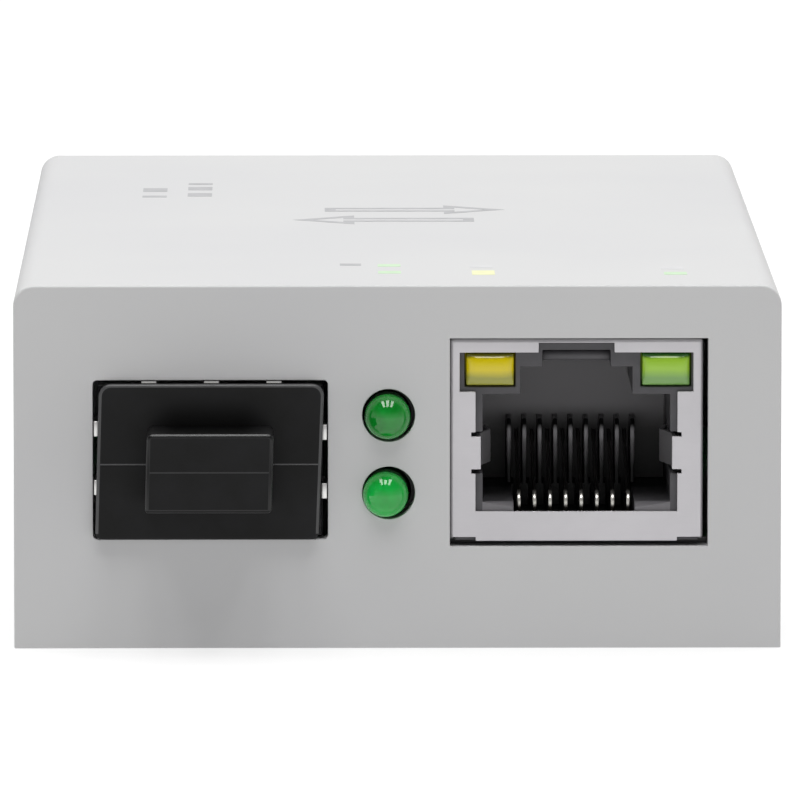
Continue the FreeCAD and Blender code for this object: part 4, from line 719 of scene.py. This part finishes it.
makePiece(
    cleanCopy("indicator_holder"), "indicatorHolder", blackPbt, stands=["indicator_holder"],
    slot="jack_plastic", edge=0.06,
)
print("indicators made")

# roof prints: plain bars and arrows in thin ink
printLook = {"thick": 0.012, "roof": nodeBox("top_cover")[1].z}


def raiseInk(bm, faces):
    raised = bmesh.ops.extrude_face_region(bm, geom=faces)
    moved = [v for v in raised["geom"] if isinstance(v, bmesh.types.BMVert)]
    bmesh.ops.translate(bm, vec=(0, 0, printLook["thick"] * mm), verts=moved)
    bmesh.ops.recalc_face_normals(bm, faces=bm.faces)


def flatFace(bm, outline):
    return bm.faces.new([bm.verts.new((x * mm, y * mm, printLook["roof"] * mm)) for x, y in outline])


def finishPrint(bm, name, ink):
    piece = makePiece(bm, name, ink, slot="case_plastic")
    for polygon in piece.data.polygons:
        polygon.use_smooth = False


def makeBars(name, ink, bars):
    # short printed bars: middle x, middle y, width, depth
    bm = bmesh.new()
    for x, y, width, depth in bars:
        right, back = width / 2, depth / 2
        raiseInk(bm, [flatFace(bm, [
            (x - right, y - back), (x + right, y - back), (x + right, y + back), (x - right, y + back)
        ])])
    finishPrint(bm, name, ink)


greyInk = makeInk("padInkGrey", "#ABABAD")
paleInk = makeInk("padInkPaleGrey", "#CACACB")
greenInk = makeInk("padInkGreen", "#BFD6B8")
yellowInk = makeInk("padInkYellow", "#DEDEB4")
makeBars("printGreyMarks", greyInk, [
    (-3.0, -30.1, 1.4, 1.2),
    (-16.45, 18.0, 1.7, 2.4), (-16.45, 13.6, 1.7, 1.1),
    (-13.3, 22.1, 1.7, 1.1), (-13.3, 18.9, 1.7, 2.2), (-13.3, 14.7, 1.7, 2.2),
])
makeBars("printPaleMarks", paleInk, [(5.6, -31.4, 1.5, 1.4), (18.2, -32.3, 1.5, 1.3)])
makeBars("printGreenMarks", greenInk, [
    (-0.45, -30.6, 1.5, 1.5), (-0.45, -34.7, 1.5, 1.5), (18.3, -35.5, 1.5, 1.6),
])
makeBars("printYellowMark", yellowInk, [(5.7, -35.0, 1.5, 2.6)])

arrows = {"x": 0.5, "y": 1.3, "length": 12.4, "height": 5.6, "head": 4.2, "shaft": 2.4, "gap": 6.6,
          "slide": 1.1, "stroke": 0.75}


def makeArrows(p):
    # two outlined arrows, one above the other, pointing opposite ways
    bm = bmesh.new()
    reach, tall, shaft = p["length"] / 2, p["height"] / 2, p["shaft"] / 2
    points = [
        (-reach, -shaft), (reach - p["head"], -shaft), (reach - p["head"], -tall),
        (reach, 0), (reach - p["head"], tall), (reach - p["head"], shaft), (-reach, shaft),
    ]
    for side in (1, -1):
        outline = [
            (p["x"] + side * (x + p["slide"]), p["y"] + side * (p["gap"] / 2 + y)) for x, y in points
        ]
        face = flatFace(bm, outline)
        bm.normal_update()  # the inset is measured across the face's normal
        ring = bmesh.ops.inset_region(
            bm, faces=[face], thickness=p["stroke"] * mm, use_even_offset=True, use_boundary=True
        )
        bmesh.ops.delete(bm, geom=[face], context="FACES_ONLY")
        raiseInk(bm, ring["faces"])
    finishPrint(bm, "printArrows", greyInk)


makeArrows(arrows)
print("prints made")

# pieces kept from the CAD model, with their materials
boardLaminate = makeBoardMaterial()
keptNodes = {
    "case_screws": zincSteel, "circuit_board": boardLaminate, "board_screws": zincSteel,
    "sfp_host_connector": blackPbt, "sfp_host_contacts": goldWire, "rj45_magnetics": blackPbt,
    "indicator_leads": zincSteel, "dc_inlet_body": blackPbt, "dc_inlet_pin": nickel,
    "dc_inlet_spring": springSteel, "controller_chip": chipEpoxy, "memory_chip": chipEpoxy,
    "regulator_chip": chipEpoxy, "power_inductor": ferrite, "clock_crystal": nickel,
    "electrolytic_cans": drawnAluminium, "chip_parts": firedCeramic,
}
for node, material in keptNodes.items():
    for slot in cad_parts[node].material_slots:
        slot.material = material
print("kept nodes dressed")

# stage, light and camera
stage = {
    "floorGap": 0.03,  # millimetres, so that the floor and the underside never share a plane
    "reach": 6.0, "floorColour": "#8C8C8C", "floorGlow": 0.71,
    "horizonGlow": 0.7, "skyGlow": 0.06, "glowTop": 0.6,  # the last is the sine of the angle where it ends
    # three long tubes overhead, side by side
    "tubeHeight": 1.0, "tubeWidth": 0.20, "tubeLength": 1.02, "tubePitch": 0.335, "tubeY": -0.18,
    "tubeRadiance": 6.9,
    # one broad panel high up behind
    "panelSpot": (0, 0.95, 1.6), "panelSize": (2.4, 1.5), "panelRadiance": 1.7,
}


def aim(spot, target):
    return (Vector(target) - Vector(spot)).to_track_quat("-Z", "Y").to_euler()


def makeLight(name, spot, size, target, radiance):
    data = bpy.data.lights.new(name, "AREA")
    data.shape = "RECTANGLE"
    data.size, data.size_y = size
    data.energy = radiance * math.pi * size[0] * size[1]
    light = bpy.data.objects.new(name, data)
    light.location = spot
    light.rotation_euler = aim(spot, target)
    bpy.context.scene.collection.objects.link(light)


def makeStage(p):
    bm = bmesh.new()
    bmesh.ops.create_grid(bm, x_segments=1, y_segments=1, size=p["reach"] / 2)
    bmesh.ops.translate(bm, vec=(0, 0, -p["floorGap"] * mm), verts=bm.verts)
    mesh = bpy.data.meshes.new("floor")
    bm.to_mesh(mesh)
    bm.free()
    # acrylic, cast with an opal filler and lit evenly from below: shadows on it stay pale
    opalAcrylic, shader = newMaterial("opalAcrylic", Emission_Strength=p["floorGlow"])
    shader.inputs["Emission Color"].default_value = toLinear("#FFFFFF")
    addGrain(opalAcrylic, shader, (p["floorColour"], p["floorColour"]), 60.0, (0.8, 0.9), 2.0, 0.0)
    mesh.materials.append(opalAcrylic)
    floor = bpy.data.objects.new("floor", mesh)
    bpy.context.scene.collection.objects.link(floor)
    floor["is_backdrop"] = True
    world = bpy.data.worlds.new("studio")
    world.use_nodes = True
    direction = addNode(world, "TexCoord").outputs["Generated"]
    height = addNode(world, "SeparateXYZ", links={"Vector": direction}).outputs["Z"]
    glow = addNode(
        world, "MapRange",
        {"From Min": 0.0, "From Max": p["glowTop"], "To Min": p["horizonGlow"], "To Max": p["skyGlow"]},
        {"Value": height}, interpolation_type="SMOOTHSTEP",
    )
    background = world.node_tree.nodes["Background"]
    background.inputs["Color"].default_value = toLinear("#FFFFFF")
    world.node_tree.links.new(glow.outputs["Result"], background.inputs["Strength"])
    bpy.context.scene.world = world
    for number, name in enumerate(("tubeLeft", "tubeMiddle", "tubeRight")):
        spot = ((number - 1) * p["tubePitch"], p["tubeY"], p["tubeHeight"])
        makeLight(name, spot, (p["tubeWidth"], p["tubeLength"]), (spot[0], spot[1], 0), p["tubeRadiance"])
    makeLight("panel", p["panelSpot"], p["panelSize"], (0, 0, 0), p["panelRadiance"])


# focal length and sensor in millimetres, clipping in metres, places in millimetres
lensAndSpot = {
    "focal": 521.0, "sensor": 36.0, "nearest": 0.01, "farthest": 50.0,
    "spot": (-6.75, -790.5, 107.3), "target": (0.16, -42.5, 16.3),
}


def makeCamera(p):
    data = bpy.data.cameras.new("camera")
    data.lens = p["focal"]
    data.sensor_width = p["sensor"]
    data.clip_start = p["nearest"]
    data.clip_end = p["farthest"]
    camera = bpy.data.objects.new("camera", data)
    spot, target = Vector(p["spot"]) * mm, Vector(p["target"]) * mm
    camera.location = spot
    camera.rotation_euler = aim(spot, target)
    bpy.context.scene.collection.objects.link(camera)
    bpy.context.scene.camera = camera


makeStage(stage)
makeCamera(lensAndSpot)
bpy.context.scene.view_settings.view_transform = "Standard"
print("stage made")

plain = [[[float(v) for v in corner] for corner in bounds] for bounds in (cadBounds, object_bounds())]
